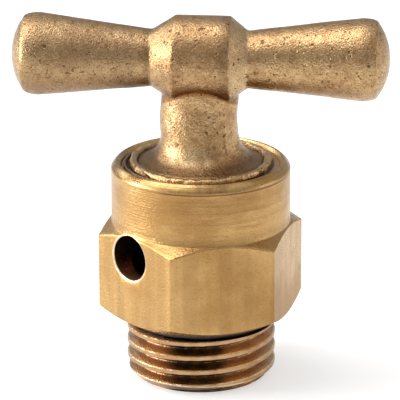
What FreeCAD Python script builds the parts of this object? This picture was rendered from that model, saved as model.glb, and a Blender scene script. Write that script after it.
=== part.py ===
import FreeCAD, Part
import math
import os
import re
import Sketcher

doc = FreeCAD.newDocument("drain_cock")

# Driving dimensions in millimetres, angles in degrees. The origin is on the axis of the
# male thread, at the level of the sealing face under the hexagon; +Z points up to the handle.
SIZES = [
    ("hex_af", "16", "width across the flats of the hexagon"),
    ("hex_turn", "18", "bearing of one hexagon corner from +X"),
    ("hex_low_r", "7.5", "edge radius of the sealing face"),
    ("hex_low_z", "1.0", "level where the lower cone reaches the corners"),
    ("hex_top_z", "7.5", "level where the upper cone leaves the corners"),
    ("collar_wall", "0.975", "wall of the collar at its mouth"),
    ("collar_foot_z", "8.29", "level where the collar leaves the shoulder cone"),
    ("rim_z", "13.8", "top of the collar's rim"),
    ("rim_round", "0.5", "rounding of the rim's outer edge"),
    ("rim_break", "0.4", "edge break of the rim's inner edge"),
    ("mouth_gap", "0.38", "how far the counterbore clears the inner thread"),
    ("mouth_edge_z", "13.45", "level where the mouth's edge break ends"),
    ("mouth_z", "13.4", "floor of the counterbore"),
    ("top_minor_r", "5.97", "minor radius of the inner thread and radius of the seal bore"),
    ("top_relief_gap", "0.06", "how far the relief clears the inner thread"),
    ("top_relief_high_z", "11.6", "upper level of that relief"),
    ("top_relief_low_z", "10.65", "lower level of that relief"),
    ("top_pitch", "1.0", "pitch of the inner thread and of the plug"),
    ("top_depth", "0.55", "depth of the inner thread"),
    ("top_root_half", "0.12", "half width of the inner thread's groove at its bottom"),
    ("top_start_z", "11.12", "level of the inner thread's groove at +Y where it starts"),
    ("top_rise", "2.8", "height the inner thread climbs"),
    ("chamber_gap", "0.63", "how much wider the chamber is than the seal bore"),
    ("chamber_high_z", "8.5", "roof of the chamber"),
    ("chamber_low_z", "2.8", "floor of the chamber"),
    ("seat_out_r", "2.7", "outer radius of the raised seat"),
    ("seat_z", "3.58", "top of the raised seat"),
    ("orifice_r", "1.9", "radius of the passage through the seat"),
    ("orifice_z", "2.25", "level where the passage through the seat starts"),
    ("inlet_r", "3.0", "radius of the inlet bore"),
    ("inlet_z", "1.6", "end of the inlet bore's full radius"),
    ("inlet_edge", "0.35", "edge break at the inlet's mouth"),
    ("stub_end_z", "5.9", "length of the male thread below the sealing face"),
    ("stub_end_r", "5.75", "radius of the male thread's end face"),
    ("stub_major_r", "6.5785", "major radius of the male thread"),
    ("stub_root_r", "5.7225", "root radius of the male thread"),
    ("stub_pitch", "1.337", "pitch of the male thread"),
    ("stub_root_half", "0.08", "half width of the male thread's groove at its bottom"),
    ("stub_break", "0.08", "depth of the broken crest corners"),
    ("stub_start_z", "6.799", "depth of the male thread's groove at +X where it starts"),
    ("stub_rise", "6.1", "height the male thread climbs"),
    ("ring_groove_r", "5.5", "radius of the groove for the sealing ring under the hexagon"),
    ("ring_groove_z", "0.85", "depth of that groove below the sealing face"),
    ("ring_room_gap", "0.05", "clearance of the recess in the sealing face around the thread"),
    ("ring_room_z", "0.12", "depth of the recess in the sealing face"),
    ("port_r", "2.0", "radius of the side drain port"),
    ("port_z", "6.35", "level of the drain port"),
    ("port_turn", "-136.3", "bearing of the drain port from +X"),
    ("port_edge", "0.15", "edge break of the drain port"),
    ("tool_over", "1.0", "how far the cutting tools reach past the part"),
    ("bar_z", "22.95", "level of the cross bar's axis"),
    ("bar_half", "16.45", "half the length of the cross bar"),
    ("bar_end_long", "1.42", "length of the end rounding along the bar"),
    ("bar_end_r", "3.62", "radius of the bar where the end rounding starts"),
    ("bar_dome_edge_r", "2.7", "radius where the end dome meets the rounding"),
    ("bar_dome_round", "5.4", "spherical radius of the end dome"),
    ("bar_edge_round", "1.6", "radius of the end rounding"),
    ("neck_past_stem", "0.69", "how far the arm's root lies outside the stem"),
    ("bar_neck_step", "1.27", "how much the arm is slimmer than the barrel"),
    ("shoulder_long", "1.7", "length of the barrel's conical shoulder"),
    ("barrel_r", "3.77", "radius of the central barrel"),
    ("stem_step", "0.41", "how much the stem is slimmer than the barrel"),
    ("bar_blend", "0.4", "blend between the stem, the barrel and the arms"),
    ("flare_z", "16.0", "level where the stem starts to flare"),
    ("flare_round", "2.4", "radius of the flare"),
    ("flare_wide", "1.44", "how far the flare reaches out from the stem"),
    ("dish_z", "13.95", "floor of the dish"),
    ("dish_slope", "0.35", "width of the slope between the dish and the lip"),
    ("lip_wide", "0.35", "width of the flange's lip"),
    ("lip_z", "14.0", "top of the flange's lip"),
    ("lip_edge", "0.37", "width of the slope outside the lip"),
    ("lip_edge_z", "13.65", "level where the lip meets the plug's thread"),
    ("plug_depth", "0.5", "depth of the plug's thread"),
    ("plug_root_gap", "0.05", "clearance of the plug's thread at its root"),
    ("plug_root_half", "0.10", "half width of the plug's thread groove at its bottom"),
    ("plug_start_z", "10.37", "level of the plug's thread groove at +X where it starts"),
    ("plug_rise", "4.15", "height the plug's thread climbs"),
    ("plug_low_z", "11.25", "level where the plug's thread reaches its full diameter"),
    ("plug_land_z", "10.75", "top of the plug's plain land"),
    ("land_gap", "0.07", "clearance of the plug's plain land in the seal bore"),
    ("gland_high_z", "9.65", "upper side of the seal groove in the plug"),
    ("gland_low_z", "8.65", "lower side of the seal groove in the plug"),
    ("gland_deep", "0.85", "depth of the seal groove in the plug"),
    ("plug_foot_z", "8.3", "underside of the plug"),
    ("nose_r", "2.8", "radius of the plug's nose"),
    ("nose_z", "5.32", "lower end of the nose"),
    ("nose_edge", "0.25", "edge break of the nose"),
    ("socket_r", "1.55", "radius of the socket in the nose"),
    ("socket_z", "8.2", "top of the socket"),
    ("clip_room_r", "1.95", "radius of the clip groove in the socket"),
    ("clip_room_low_z", "7.15", "lower side of the clip groove"),
    ("clip_room_high_z", "7.55", "upper side of the clip groove"),
    ("disc_r", "3.4", "radius of the valve disc"),
    ("disc_top_z", "5.3", "top of the valve disc's flange"),
    ("disc_low_z", "4.2", "lower edge of the valve disc"),
    ("disc_edge", "0.2", "edge break of the valve disc"),
    ("cup_r", "3.0", "radius of the recess that holds the seal"),
    ("cup_z", "4.5", "roof of that recess"),
    ("spigot_r", "1.5", "radius of the valve disc's spigot"),
    ("spigot_z", "8.0", "top of the spigot"),
    ("spigot_edge", "0.2", "edge break of the spigot"),
    ("clip_seat_r", "1.15", "radius of the clip groove in the spigot"),
    ("tap_r", "0.8", "radius of the screw hole in the valve disc"),
    ("tap_z", "6.4", "end of the screw hole"),
    ("seal_r", "2.95", "radius of the seat seal"),
    ("seal_hole_r", "0.85", "radius of the hole in the seat seal"),
    ("seal_low_z", "3.6", "underside of the seat seal"),
    ("washer_r", "1.6", "radius of the washer"),
    ("washer_z", "3.3", "underside of the washer"),
    ("head_r", "1.3", "radius of the screw's head"),
    ("head_z", "2.6", "underside of the screw's head"),
    ("head_edge", "0.25", "edge rounding of the screw's head"),
    ("shank_r", "0.78", "radius of the screw's shank"),
    ("shank_z", "6.1", "end of the screw's shank"),
    ("slot_wide", "0.4", "width of the screw's slot"),
    ("slot_deep", "0.35", "depth of the screw's slot"),
    ("clip_in_r", "1.2", "inner radius of the clip"),
    ("clip_out_r", "1.85", "outer radius of the clip"),
    ("clip_low_z", "7.2", "underside of the clip"),
    ("clip_high_z", "7.5", "top of the clip"),
    ("clip_arc", "310", "angle the clip spans"),
    ("gland_ring_gap", "0.01", "clearance of the plug's sealing ring in its groove"),
    ("gland_ring_wire", "0.44", "section radius of the plug's sealing ring"),
    ("gland_ring_z", "9.15", "level of the plug's sealing ring"),
    ("face_ring_gap", "0.03", "clearance of the sealing ring in its groove"),
    ("face_ring_wire", "0.45", "section radius of the sealing ring under the hexagon"),
    ("face_ring_z", "0.36", "depth of that ring's centre below the sealing face"),
]

sheet = doc.addObject("Spreadsheet::Sheet", "dims")
for row, (alias, value, meaning) in enumerate(SIZES, start=1):
    sheet.set("A%d" % row, meaning)
    sheet.set("B%d" % row, value)
    sheet.setAlias("B%d" % row, alias)
doc.recompute()

NUMBER = re.compile(r"^[0-9.]+$")
NAME = re.compile(r"[a-z_]+[a-z_0-9]*")


def measure(text):
    """Value of a sum of names and numbers, such as 'collar_r - rim_round'."""
    total = 0.0
    sign = 1.0
    for word in text.split():
        if word in ("+", "-"):
            sign = 1.0 if word == "+" else -1.0
            continue
        amount = float(word) if NUMBER.match(word) else float(sheet.get(word))
        total += sign * amount
    return total


def bound(text):
    """The same sum as an expression on the sheet."""
    return NAME.sub(lambda found: "dims." + found.group(0), text)


def origin_plane(body, role):
    """One of the body's own origin planes."""
    return [item for item in body.Origin.OriginFeatures if item.Role == role][0]


def new_sketch(body, name, role):
    """An empty sketch flat on one of the body's origin planes."""
    sketch = body.newObject("Sketcher::SketchObject", name)
    sketch.AttachmentSupport = [(origin_plane(body, role), "")]
    sketch.MapMode = "FlatFace"
    return sketch


def pin_point(sketch, element, end, across, along):
    """Ties one end of an element to the sheet: distance from both sketch axes."""
    for axis, text in (("X", across), ("Y", along)):
        if abs(measure(text)) < 1e-9:
            rule = Sketcher.Constraint("PointOnObject", element, end, -2 if axis == "X" else -1)
            sketch.addConstraint(rule)
            continue
        rule = Sketcher.Constraint("Distance" + axis, -1, 1, element, end, measure(text))
        number = sketch.addConstraint(rule)
        sketch.setExpression("Constraints[%d]" % number, bound(text))


def draw_outline(sketch, corners):
    """Closed outline. A corner is (across, along), or with a radius and a turn ('left' or
    'right') where the side that leaves it is an arc."""
    spots = [(measure(corner[0]), measure(corner[1])) for corner in corners]
    starts = []
    ends = []
    for index, corner in enumerate(corners):
        first = spots[index]
        last = spots[(index + 1) % len(corners)]
        if len(corner) == 2:
            line = Part.LineSegment(FreeCAD.Vector(*first, 0), FreeCAD.Vector(*last, 0))
            element = sketch.addGeometry(line)
            starts.append((element, 1))
            ends.append((element, 2))
            continue
        radius = measure(corner[2])
        left = corner[3] == "left"
        step = (last[0] - first[0], last[1] - first[1])
        chord = math.hypot(*step)
        reach = math.sqrt(max(radius ** 2 - chord ** 2 / 4.0, 0.0)) / chord
        side = 1.0 if left else -1.0
        middle = ((first[0] + last[0]) / 2.0, (first[1] + last[1]) / 2.0)
        centre = (middle[0] - side * step[1] * reach, middle[1] + side * step[0] * reach)
        angles = [math.atan2(spot[1] - centre[1], spot[0] - centre[0]) for spot in (first, last)]
        if not left:
            angles.reverse()
        if angles[1] < angles[0]:
            angles[1] += 2.0 * math.pi
        circle = Part.Circle(FreeCAD.Vector(*centre, 0), FreeCAD.Vector(0, 0, 1), radius)
        element = sketch.addGeometry(Part.ArcOfCircle(circle, *angles))
        number = sketch.addConstraint(Sketcher.Constraint("Radius", element, radius))
        sketch.setExpression("Constraints[%d]" % number, bound(corner[2]))
        starts.append((element, 1 if left else 2))
        ends.append((element, 2 if left else 1))
    for index, corner in enumerate(corners):
        before = ends[index - 1]
        after = starts[index]
        sketch.addConstraint(Sketcher.Constraint("Coincident", *before, *after))
        pin_point(sketch, after[0], after[1], corner[0], corner[1])


def turned(body, name, corners, kind="Revolution", angle=None, axis="V_Axis", role="XZ_Plane"):
    """A turned shape added to the body, or cut from it where kind is 'Groove'."""
    sketch = new_sketch(body, name + "_outline", role)
    draw_outline(sketch, corners)
    feature = body.newObject("PartDesign::" + kind, name)
    feature.Profile = sketch
    feature.ReferenceAxis = (sketch, [axis])
    if angle is None:
        feature.Angle = 360
    else:
        feature.setExpression("Angle", bound(angle))
    doc.recompute()
    return feature


def cut_thread(body, name, corners, pitch, rise, role="XZ_Plane"):
    """A right-hand helical groove cut along the axis."""
    sketch = new_sketch(body, name + "_section", role)
    draw_outline(sketch, corners)
    before = body.Shape.Volume
    feature = body.newObject("PartDesign::SubtractiveHelix", name)
    feature.Profile = sketch
    feature.ReferenceAxis = (sketch, ["V_Axis"])
    feature.Mode = 0
    feature.setExpression("Pitch", bound(pitch))
    feature.setExpression("Height", bound(rise))
    feature.LeftHanded = False
    doc.recompute()
    if feature.Shape.Volume >= before:
        raise RuntimeError(name + " removes nothing")
    return feature


def new_body(name):
    """A PartDesign body with its own label."""
    body = doc.addObject("PartDesign::Body", name)
    body.Label = name
    return body


# Driven values that follow from the sheet.
SLOPE_55 = math.tan(math.radians(27.5))
SLOPE_60 = math.tan(math.radians(30.0))
OVERCUT = 0.1


def add_size(alias, formula, meaning):
    """A value in the sheet that follows from the driving dimensions."""
    add_size.row += 1
    sheet.set("A%d" % add_size.row, meaning)
    sheet.set("B%d" % add_size.row, "=" + formula)
    sheet.setAlias("B%d" % add_size.row, alias)


add_size.row = len(SIZES)
add_size("hex_r", "hex_af / 2 / cos(30)", "radius to the hexagon's corners")
add_size("ring_room_r", "stub_major_r + ring_room_gap", "radius of the recess")
add_size("face_ring_r", "ring_groove_r + face_ring_gap + face_ring_wire", "centre radius")
add_size("top_major_r", "top_minor_r + top_depth", "major radius of the inner thread")
add_size("top_relief_r", "top_major_r + top_relief_gap", "radius of the relief")
add_size("mouth_r", "top_major_r + mouth_gap", "radius of the counterbore at the mouth")
add_size("rim_in_r", "mouth_r + rim_break", "inner radius of the rim's top")
add_size("collar_r", "mouth_r + collar_wall", "radius of the turned collar")
add_size("chamber_r", "top_minor_r + chamber_gap", "radius of the chamber")
add_size("plug_root_r", "top_minor_r - plug_root_gap", "root radius of the plug's thread")
add_size("plug_major_r", "plug_root_r + plug_depth", "major radius of the plug's thread")
add_size("land_r", "top_minor_r - land_gap", "radius of the plug's plain land")
add_size("gland_r", "land_r - gland_deep", "bottom radius of the seal groove")
add_size("gland_ring_r", "gland_r + gland_ring_gap + gland_ring_wire", "centre radius of the ring")
add_size("lip_out_r", "plug_major_r - lip_edge", "outer radius of the flange's lip")
add_size("lip_in_r", "lip_out_r - lip_wide", "inner radius of the flange's lip")
add_size("dish_out_r", "lip_in_r - dish_slope", "outer radius of the dish floor")
add_size("stem_r", "barrel_r - stem_step", "radius of the stem")
add_size("dish_in_r", "stem_r + flare_wide", "inner radius of the dish")
add_size("bar_neck_r", "barrel_r - bar_neck_step", "radius of the arm at the barrel")
add_size("bar_neck_x", "stem_r + neck_past_stem", "where the arm leaves the barrel")
add_size("barrel_half", "bar_neck_x - shoulder_long", "half the barrel's full diameter length")
add_size("bar_dome_x",
         "bar_half - bar_dome_round + sqrt(pow(bar_dome_round; 2) - pow(bar_dome_edge_r; 2))",
         "where the end dome meets the rounding")
add_size("bar_end_x", "bar_dome_x - bar_end_long", "where the end rounding starts")
add_size("stub_flank", "stub_major_r - stub_break", "where the crest break starts")
add_size("stub_flank_half", "stub_root_half + (stub_flank - stub_root_r) * %.6f" % SLOPE_55,
         "half width of the male thread's groove at the crest break")
add_size("stub_out_r", "stub_major_r + %.3f" % OVERCUT, "outer reach of the thread cutter")
add_size("stub_out_half", "stub_flank_half + stub_break + %.3f" % OVERCUT,
         "half width of the male thread's groove at the cutter's outer reach")
add_size("plug_out_r", "plug_major_r + %.3f" % OVERCUT, "outer reach of the plug's cutter")
add_size("plug_out_half", "plug_root_half + (plug_out_r - plug_root_r) * %.6f" % SLOPE_60,
         "half width of the plug's groove at the cutter's outer reach")
add_size("top_inner_r", "top_minor_r - %.3f" % OVERCUT, "inner reach of the inner thread's cutter")
add_size("top_inner_half", "top_root_half + (top_major_r - top_inner_r) * %.6f" % SLOPE_60,
         "half width of the inner thread's groove at the cutter's inner reach")
doc.recompute()

# The turned blank of the valve body: thread stub, hexagon's cones and collar.
blank = new_body("turned_blank")
turned(blank, "outside", [
    ("0", "0 - stub_end_z"),
    ("stub_end_r", "0 - stub_end_z"),
    ("stub_major_r", "0 - stub_end_z + stub_major_r - stub_end_r"),
    ("stub_major_r", "0 - ring_groove_z"),
    ("ring_groove_r", "0 - ring_groove_z"),
    ("ring_groove_r", "ring_room_z"),
    ("ring_room_r", "ring_room_z"),
    ("ring_room_r", "0"),
    ("hex_low_r", "0"),
    ("hex_r", "hex_low_z"),
    ("hex_r", "hex_top_z"),
    ("collar_r", "collar_foot_z"),
    ("collar_r", "rim_z - rim_round", "rim_round", "left"),
    ("collar_r - rim_round", "rim_z"),
    ("0", "rim_z"),
])
turned(blank, "passages", [
    ("0", "0 - stub_end_z - tool_over"),
    ("inlet_r + inlet_edge + tool_over", "0 - stub_end_z - tool_over"),
    ("inlet_r", "0 - stub_end_z + inlet_edge"),
    ("inlet_r", "inlet_z"),
    ("orifice_r", "orifice_z"),
    ("orifice_r", "seat_z"),
    ("seat_out_r", "seat_z"),
    ("seat_out_r", "chamber_low_z"),
    ("chamber_r", "chamber_low_z"),
    ("chamber_r", "chamber_high_z"),
    ("top_minor_r", "chamber_high_z"),
    ("top_minor_r", "top_relief_low_z"),
    ("top_relief_r", "top_relief_low_z"),
    ("top_relief_r", "top_relief_high_z"),
    ("top_minor_r", "top_relief_high_z"),
    ("top_minor_r", "mouth_z"),
    ("mouth_r", "mouth_z"),
    ("mouth_r", "mouth_edge_z"),
    ("rim_in_r", "rim_z"),
    ("rim_in_r", "rim_z + tool_over"),
    ("0", "rim_z + tool_over"),
], kind="Groove")
cut_thread(blank, "male_thread", [
    ("stub_root_r", "0 - stub_start_z - stub_root_half"),
    ("stub_flank", "0 - stub_start_z - stub_flank_half"),
    ("stub_out_r", "0 - stub_start_z - stub_out_half"),
    ("stub_out_r", "0 - stub_start_z + stub_out_half"),
    ("stub_flank", "0 - stub_start_z + stub_flank_half"),
    ("stub_root_r", "0 - stub_start_z + stub_root_half"),
], "stub_pitch", "stub_rise")
cut_thread(blank, "inner_thread", [
    ("top_inner_r", "top_start_z - top_inner_half"),
    ("top_major_r", "top_start_z - top_root_half"),
    ("top_major_r", "top_start_z + top_root_half"),
    ("top_inner_r", "top_start_z + top_inner_half"),
], "top_pitch", "top_rise", role="YZ_Plane")

bar_stock = doc.addObject("Part::Prism", "hexagonal_bar")
bar_stock.Polygon = 6
bar_stock.setExpression("Circumradius", "dims.hex_r")
bar_stock.setExpression("Height", "dims.stub_end_z + dims.rim_z + 2 * dims.tool_over")
bar_stock.setExpression("Placement.Base.z", "0 - dims.stub_end_z - dims.tool_over")
bar_stock.setExpression("Placement.Rotation.Angle", "dims.hex_turn")

hexed = doc.addObject("Part::MultiCommon", "hexagonal_blank")
hexed.Shapes = [blank, bar_stock]

# The drain port is drilled square to the axis from outside into the chamber.
PORT_REACH = measure("hex_af")
port_way = FreeCAD.Rotation(FreeCAD.Vector(0, 0, 1), measure("port_turn"))
port_lay = port_way.multiply(FreeCAD.Rotation(FreeCAD.Vector(0, 1, 0), 90))
port_drill = doc.addObject("Part::Cylinder", "port_drill")
port_drill.setExpression("Radius", "dims.port_r")
port_drill.Height = PORT_REACH
port_drill.Placement = FreeCAD.Placement(
    port_way.multVec(FreeCAD.Vector(measure("seat_out_r + tool_over"), 0, 0)), port_lay)
port_drill.setExpression("Placement.Base.z", "dims.port_z")

port_break = doc.addObject("Part::Cone", "port_edge_break")
port_break.setExpression("Radius1", "dims.port_r")
port_break.setExpression("Radius2", "dims.port_r + dims.port_edge * 2")
port_break.setExpression("Height", "dims.port_edge * 2")
port_break.Placement = FreeCAD.Placement(
    port_way.multVec(FreeCAD.Vector(measure("hex_af") / 2 - measure("port_edge"), 0, 0)), port_lay)
port_break.setExpression("Placement.Base.z", "dims.port_z")

port_tools = doc.addObject("Part::MultiFuse", "port_tools")
port_tools.Shapes = [port_drill, port_break]

valve_body = doc.addObject("Part::Cut", "valve_body")
valve_body.Base = hexed
valve_body.Tool = port_tools

# The T-handle: a screw plug with a stem, and the cross bar on top of it.
plug = new_body("screw_plug")
turned(plug, "plug_outside", [
    ("0", "nose_z"),
    ("nose_r - nose_edge", "nose_z"),
    ("nose_r", "nose_z + nose_edge"),
    ("nose_r", "plug_foot_z"),
    ("land_r - nose_edge", "plug_foot_z"),
    ("land_r", "plug_foot_z + nose_edge"),
    ("land_r", "gland_low_z"),
    ("gland_r", "gland_low_z"),
    ("gland_r", "gland_high_z"),
    ("land_r", "gland_high_z"),
    ("land_r", "plug_land_z"),
    ("plug_major_r", "plug_low_z"),
    ("plug_major_r", "lip_edge_z"),
    ("lip_out_r", "lip_z"),
    ("lip_in_r", "lip_z"),
    ("dish_out_r", "dish_z"),
    ("dish_in_r", "dish_z", "flare_round", "right"),
    ("stem_r", "flare_z"),
    ("stem_r", "bar_z"),
    ("0", "bar_z"),
])
turned(plug, "socket", [
    ("0", "nose_z - tool_over"),
    ("socket_r", "nose_z - tool_over"),
    ("socket_r", "clip_room_low_z"),
    ("clip_room_r", "clip_room_low_z"),
    ("clip_room_r", "clip_room_high_z"),
    ("socket_r", "clip_room_high_z"),
    ("socket_r", "socket_z"),
    ("0", "socket_z"),
], kind="Groove")
cut_thread(plug, "plug_thread", [
    ("plug_root_r", "plug_start_z - plug_root_half"),
    ("plug_out_r", "plug_start_z - plug_out_half"),
    ("plug_out_r", "plug_start_z + plug_out_half"),
    ("plug_root_r", "plug_start_z + plug_root_half"),
], "top_pitch", "plug_rise")

cross_bar = new_body("cross_bar")
turned(cross_bar, "bar_outside", [
    ("0 - bar_half", "0"),
    ("bar_half", "0", "bar_dome_round", "left"),
    ("bar_dome_x", "bar_dome_edge_r", "bar_edge_round", "left"),
    ("bar_end_x", "bar_end_r"),
    ("bar_neck_x", "bar_neck_r"),
    ("barrel_half", "barrel_r"),
    ("0 - barrel_half", "barrel_r"),
    ("0 - bar_neck_x", "bar_neck_r"),
    ("0 - bar_end_x", "bar_end_r", "bar_edge_round", "left"),
    ("0 - bar_dome_x", "bar_dome_edge_r", "bar_dome_round", "left"),
], axis="H_Axis")
cross_bar.setExpression("Placement.Base.z", "dims.bar_z")

sharp_handle = doc.addObject("Part::MultiFuse", "sharp_handle")
sharp_handle.Shapes = [plug, cross_bar]
doc.recompute()


def belongs(face):
    """'stem' or 'bar' for the round faces that a blend joins, otherwise nothing."""
    surface = face.Surface
    if isinstance(surface, Part.Cylinder) and abs(surface.Axis.z) > 0.9:
        return "stem" if abs(surface.Radius - measure("stem_r")) < 1e-3 else ""
    if isinstance(surface, (Part.Cylinder, Part.Cone)) and abs(surface.Axis.x) > 0.9:
        return "bar"
    return ""


def is_blended(edge):
    """True for the seam between stem and cross bar and for the rings around the barrel."""
    faces = sharp_handle.Shape.ancestorsOfType(edge, Part.Face)
    sides = sorted(belongs(face) for face in faces)
    return len(faces) == 2 and sides in (["bar", "stem"], ["bar", "bar"])


t_handle = doc.addObject("Part::Fillet", "t_handle")
t_handle.Base = sharp_handle
blend = measure("bar_blend")
t_handle.Edges = [(number, blend, blend) for number, edge in enumerate(
    sharp_handle.Shape.Edges, start=1) if is_blended(edge)]
print("edges blended on the handle:", len(t_handle.Edges))

# The valve disc hangs in the plug's socket and does not turn with it.
valve_disc = new_body("valve_disc")
turned(valve_disc, "disc_outside", [
    ("0", "cup_z"),
    ("cup_r", "cup_z"),
    ("cup_r", "disc_low_z"),
    ("disc_r - disc_edge", "disc_low_z"),
    ("disc_r", "disc_low_z + disc_edge"),
    ("disc_r", "disc_top_z - disc_edge"),
    ("disc_r - disc_edge", "disc_top_z"),
    ("spigot_r", "disc_top_z"),
    ("spigot_r", "clip_room_low_z"),
    ("clip_seat_r", "clip_room_low_z"),
    ("clip_seat_r", "clip_room_high_z"),
    ("spigot_r", "clip_room_high_z"),
    ("spigot_r", "spigot_z - spigot_edge"),
    ("spigot_r - spigot_edge", "spigot_z"),
    ("0", "spigot_z"),
])
turned(valve_disc, "screw_hole", [
    ("0", "cup_z - tool_over"),
    ("tap_r", "cup_z - tool_over"),
    ("tap_r", "tap_z - tap_r"),
    ("0", "tap_z"),
], kind="Groove")

seat_seal = new_body("seat_seal")
turned(seat_seal, "seal_section", [
    ("seal_hole_r", "seal_low_z"),
    ("seal_r", "seal_low_z"),
    ("seal_r", "cup_z"),
    ("seal_hole_r", "cup_z"),
])

seal_washer = new_body("seal_washer")
turned(seal_washer, "washer_section", [
    ("seal_hole_r", "washer_z"),
    ("washer_r", "washer_z"),
    ("washer_r", "seal_low_z"),
    ("seal_hole_r", "seal_low_z"),
])

screw_blank = new_body("screw_blank")
turned(screw_blank, "screw_outside", [
    ("0", "head_z"),
    ("head_r - head_edge", "head_z", "head_edge", "left"),
    ("head_r", "head_z + head_edge"),
    ("head_r", "washer_z"),
    ("shank_r", "washer_z"),
    ("shank_r", "shank_z - shank_r"),
    ("0", "shank_z"),
])
screw_slot = doc.addObject("Part::Box", "screw_slot")
screw_slot.setExpression("Length", "dims.head_r * 4")
screw_slot.setExpression("Width", "dims.slot_wide")
screw_slot.setExpression("Height", "dims.slot_deep * 2")
screw_slot.setExpression("Placement.Base.x", "0 - dims.head_r * 2")
screw_slot.setExpression("Placement.Base.y", "0 - dims.slot_wide / 2")
screw_slot.setExpression("Placement.Base.z", "dims.head_z - dims.slot_deep")
seal_screw = doc.addObject("Part::Cut", "seal_screw")
seal_screw.Base = screw_blank
seal_screw.Tool = screw_slot

# An open spring clip that keeps the valve disc in the socket.
disc_clip = new_body("disc_clip")
turned(disc_clip, "clip_section", [
    ("clip_in_r", "clip_low_z"),
    ("clip_out_r", "clip_low_z"),
    ("clip_out_r", "clip_high_z"),
    ("clip_in_r", "clip_high_z"),
], angle="clip_arc")

plug_o_ring = doc.addObject("Part::Torus", "plug_o_ring")
plug_o_ring.setExpression("Radius1", "dims.gland_ring_r")
plug_o_ring.setExpression("Radius2", "dims.gland_ring_wire")
plug_o_ring.setExpression("Placement.Base.z", "dims.gland_ring_z")

thread_seal_ring = doc.addObject("Part::Torus", "thread_seal_ring")
thread_seal_ring.setExpression("Radius1", "dims.face_ring_r")
thread_seal_ring.setExpression("Radius2", "dims.face_ring_wire")
thread_seal_ring.setExpression("Placement.Base.z", "0 - dims.face_ring_z")

doc.recompute()

NODES = {
    "valve_body": valve_body,
    "t_handle": t_handle,
    "valve_disc": valve_disc,
    "seat_seal": seat_seal,
    "seal_washer": seal_washer,
    "seal_screw": seal_screw,
    "disc_clip": disc_clip,
    "plug_o_ring": plug_o_ring,
    "thread_seal_ring": thread_seal_ring,
}

for item in doc.Objects:
    if "Invalid" in item.State or "Error" in item.State:
        raise RuntimeError("%s is in state %s" % (item.Name, item.State))
for label, node in NODES.items():
    node.Label = label
    shape = node.Shape
    if shape.isNull() or not shape.isValid() or len(shape.Solids) != 1:
        raise RuntimeError("%s is not one valid solid" % label)

os.makedirs("parts", exist_ok=True)
for label, node in NODES.items():
    node.Shape.exportStep(os.path.join("parts", label + ".step"))
    box = node.Shape.BoundBox
    print("%-18s volume %9.3f  z %7.3f to %7.3f  x %7.3f to %7.3f" % (
        label, node.Shape.Volume, box.ZMin, box.ZMax, box.XMin, box.XMax))
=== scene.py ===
# %% [markdown]
# # A small brass drain cock
# The part is a turned hexagon body with a pipe thread below and a drain hole in its side. A cast
# T-handle with a screw plug sits in its top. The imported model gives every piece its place, so
# this script only dresses it: finer shapes where light shows them, and brass that looks worked.

# %% Load the frame
import math
import bmesh
import bpy
import numpy as np
from mathutils import Matrix, Vector


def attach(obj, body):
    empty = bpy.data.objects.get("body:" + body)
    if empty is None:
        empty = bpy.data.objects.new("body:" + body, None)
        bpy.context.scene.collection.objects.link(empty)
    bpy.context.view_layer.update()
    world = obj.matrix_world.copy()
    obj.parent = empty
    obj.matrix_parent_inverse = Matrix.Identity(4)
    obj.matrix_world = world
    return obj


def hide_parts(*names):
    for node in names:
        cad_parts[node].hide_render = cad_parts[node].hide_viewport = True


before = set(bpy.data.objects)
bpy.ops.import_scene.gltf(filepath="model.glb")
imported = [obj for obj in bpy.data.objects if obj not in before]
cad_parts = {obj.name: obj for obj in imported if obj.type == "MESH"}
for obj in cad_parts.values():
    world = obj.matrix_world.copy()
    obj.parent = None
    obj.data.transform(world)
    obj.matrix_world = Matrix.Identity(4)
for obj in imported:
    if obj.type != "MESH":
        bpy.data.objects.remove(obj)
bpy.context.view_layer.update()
MM = 0.001
print("nodes:", sorted(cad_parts))

# %% [markdown]
# Meshes here are grids of points: one row for each step along an outline and one column for each
# step around the axis. A grid is easy to shape with numpy, closes on itself without a seam, and
# gives every ridge of the thread the same fine spacing.

# %% A mesh from a grid of points


def mesh_from_grid(name, points, rows_close=True, cap_ends=False):
    """Object from rows x columns points in millimetres. Columns always close on themselves."""
    rows, columns = points.shape[:2]
    index = np.arange(rows * columns).reshape(rows, columns)
    last = rows if rows_close else rows - 1
    upper = np.roll(index, -1, axis=0)[:last]
    here = index[:last]
    faces = np.stack([here, np.roll(here, -1, 1), np.roll(upper, -1, 1), upper], -1)
    faces = [tuple(int(v) for v in face) for face in faces.reshape(-1, 4)]
    if cap_ends:
        faces.append(tuple(int(v) for v in index[0][::-1]))
        faces.append(tuple(int(v) for v in index[-1]))
    mesh = bpy.data.meshes.new(name)
    mesh.from_pydata((points.reshape(-1, 3) * MM).tolist(), [], faces)
    mesh.validate()
    shaped = bmesh.new()
    shaped.from_mesh(mesh)
    bmesh.ops.recalc_face_normals(shaped, faces=shaped.faces)
    shaped.to_mesh(mesh)
    shaped.free()
    piece = bpy.data.objects.new(name, mesh)
    bpy.context.scene.collection.objects.link(piece)
    return piece


def around_axis(reach, turn, height):
    """Points from their distance to the axis, their angle round it and their height."""
    return np.stack([reach * np.cos(turn), reach * np.sin(turn), height], -1)


def smooth_shade(piece, angle):
    """Smooth shading that stays crisp at edges sharper than the angle."""
    piece.data.shade_smooth()
    piece.data.set_sharp_from_angle(angle=math.radians(angle))
    print(piece.name, "faces:", len(piece.data.polygons))


CRISP_ANGLE = 34.0
ALL_SMOOTH = 180.0


def within(value, low, high):
    """Where a value lies between two limits."""
    return (value > low) & (value < high)


def soft_min(a, b, width):
    """The lower of two values, with a rounded change-over."""
    near = np.maximum(width - np.abs(a - b), 0.0) / width
    return np.minimum(a, b) - near * near * width / 4.0


def soft_max(a, b, width):
    """The higher of two values, with a rounded change-over."""
    return -soft_min(-a, -b, width)


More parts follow.
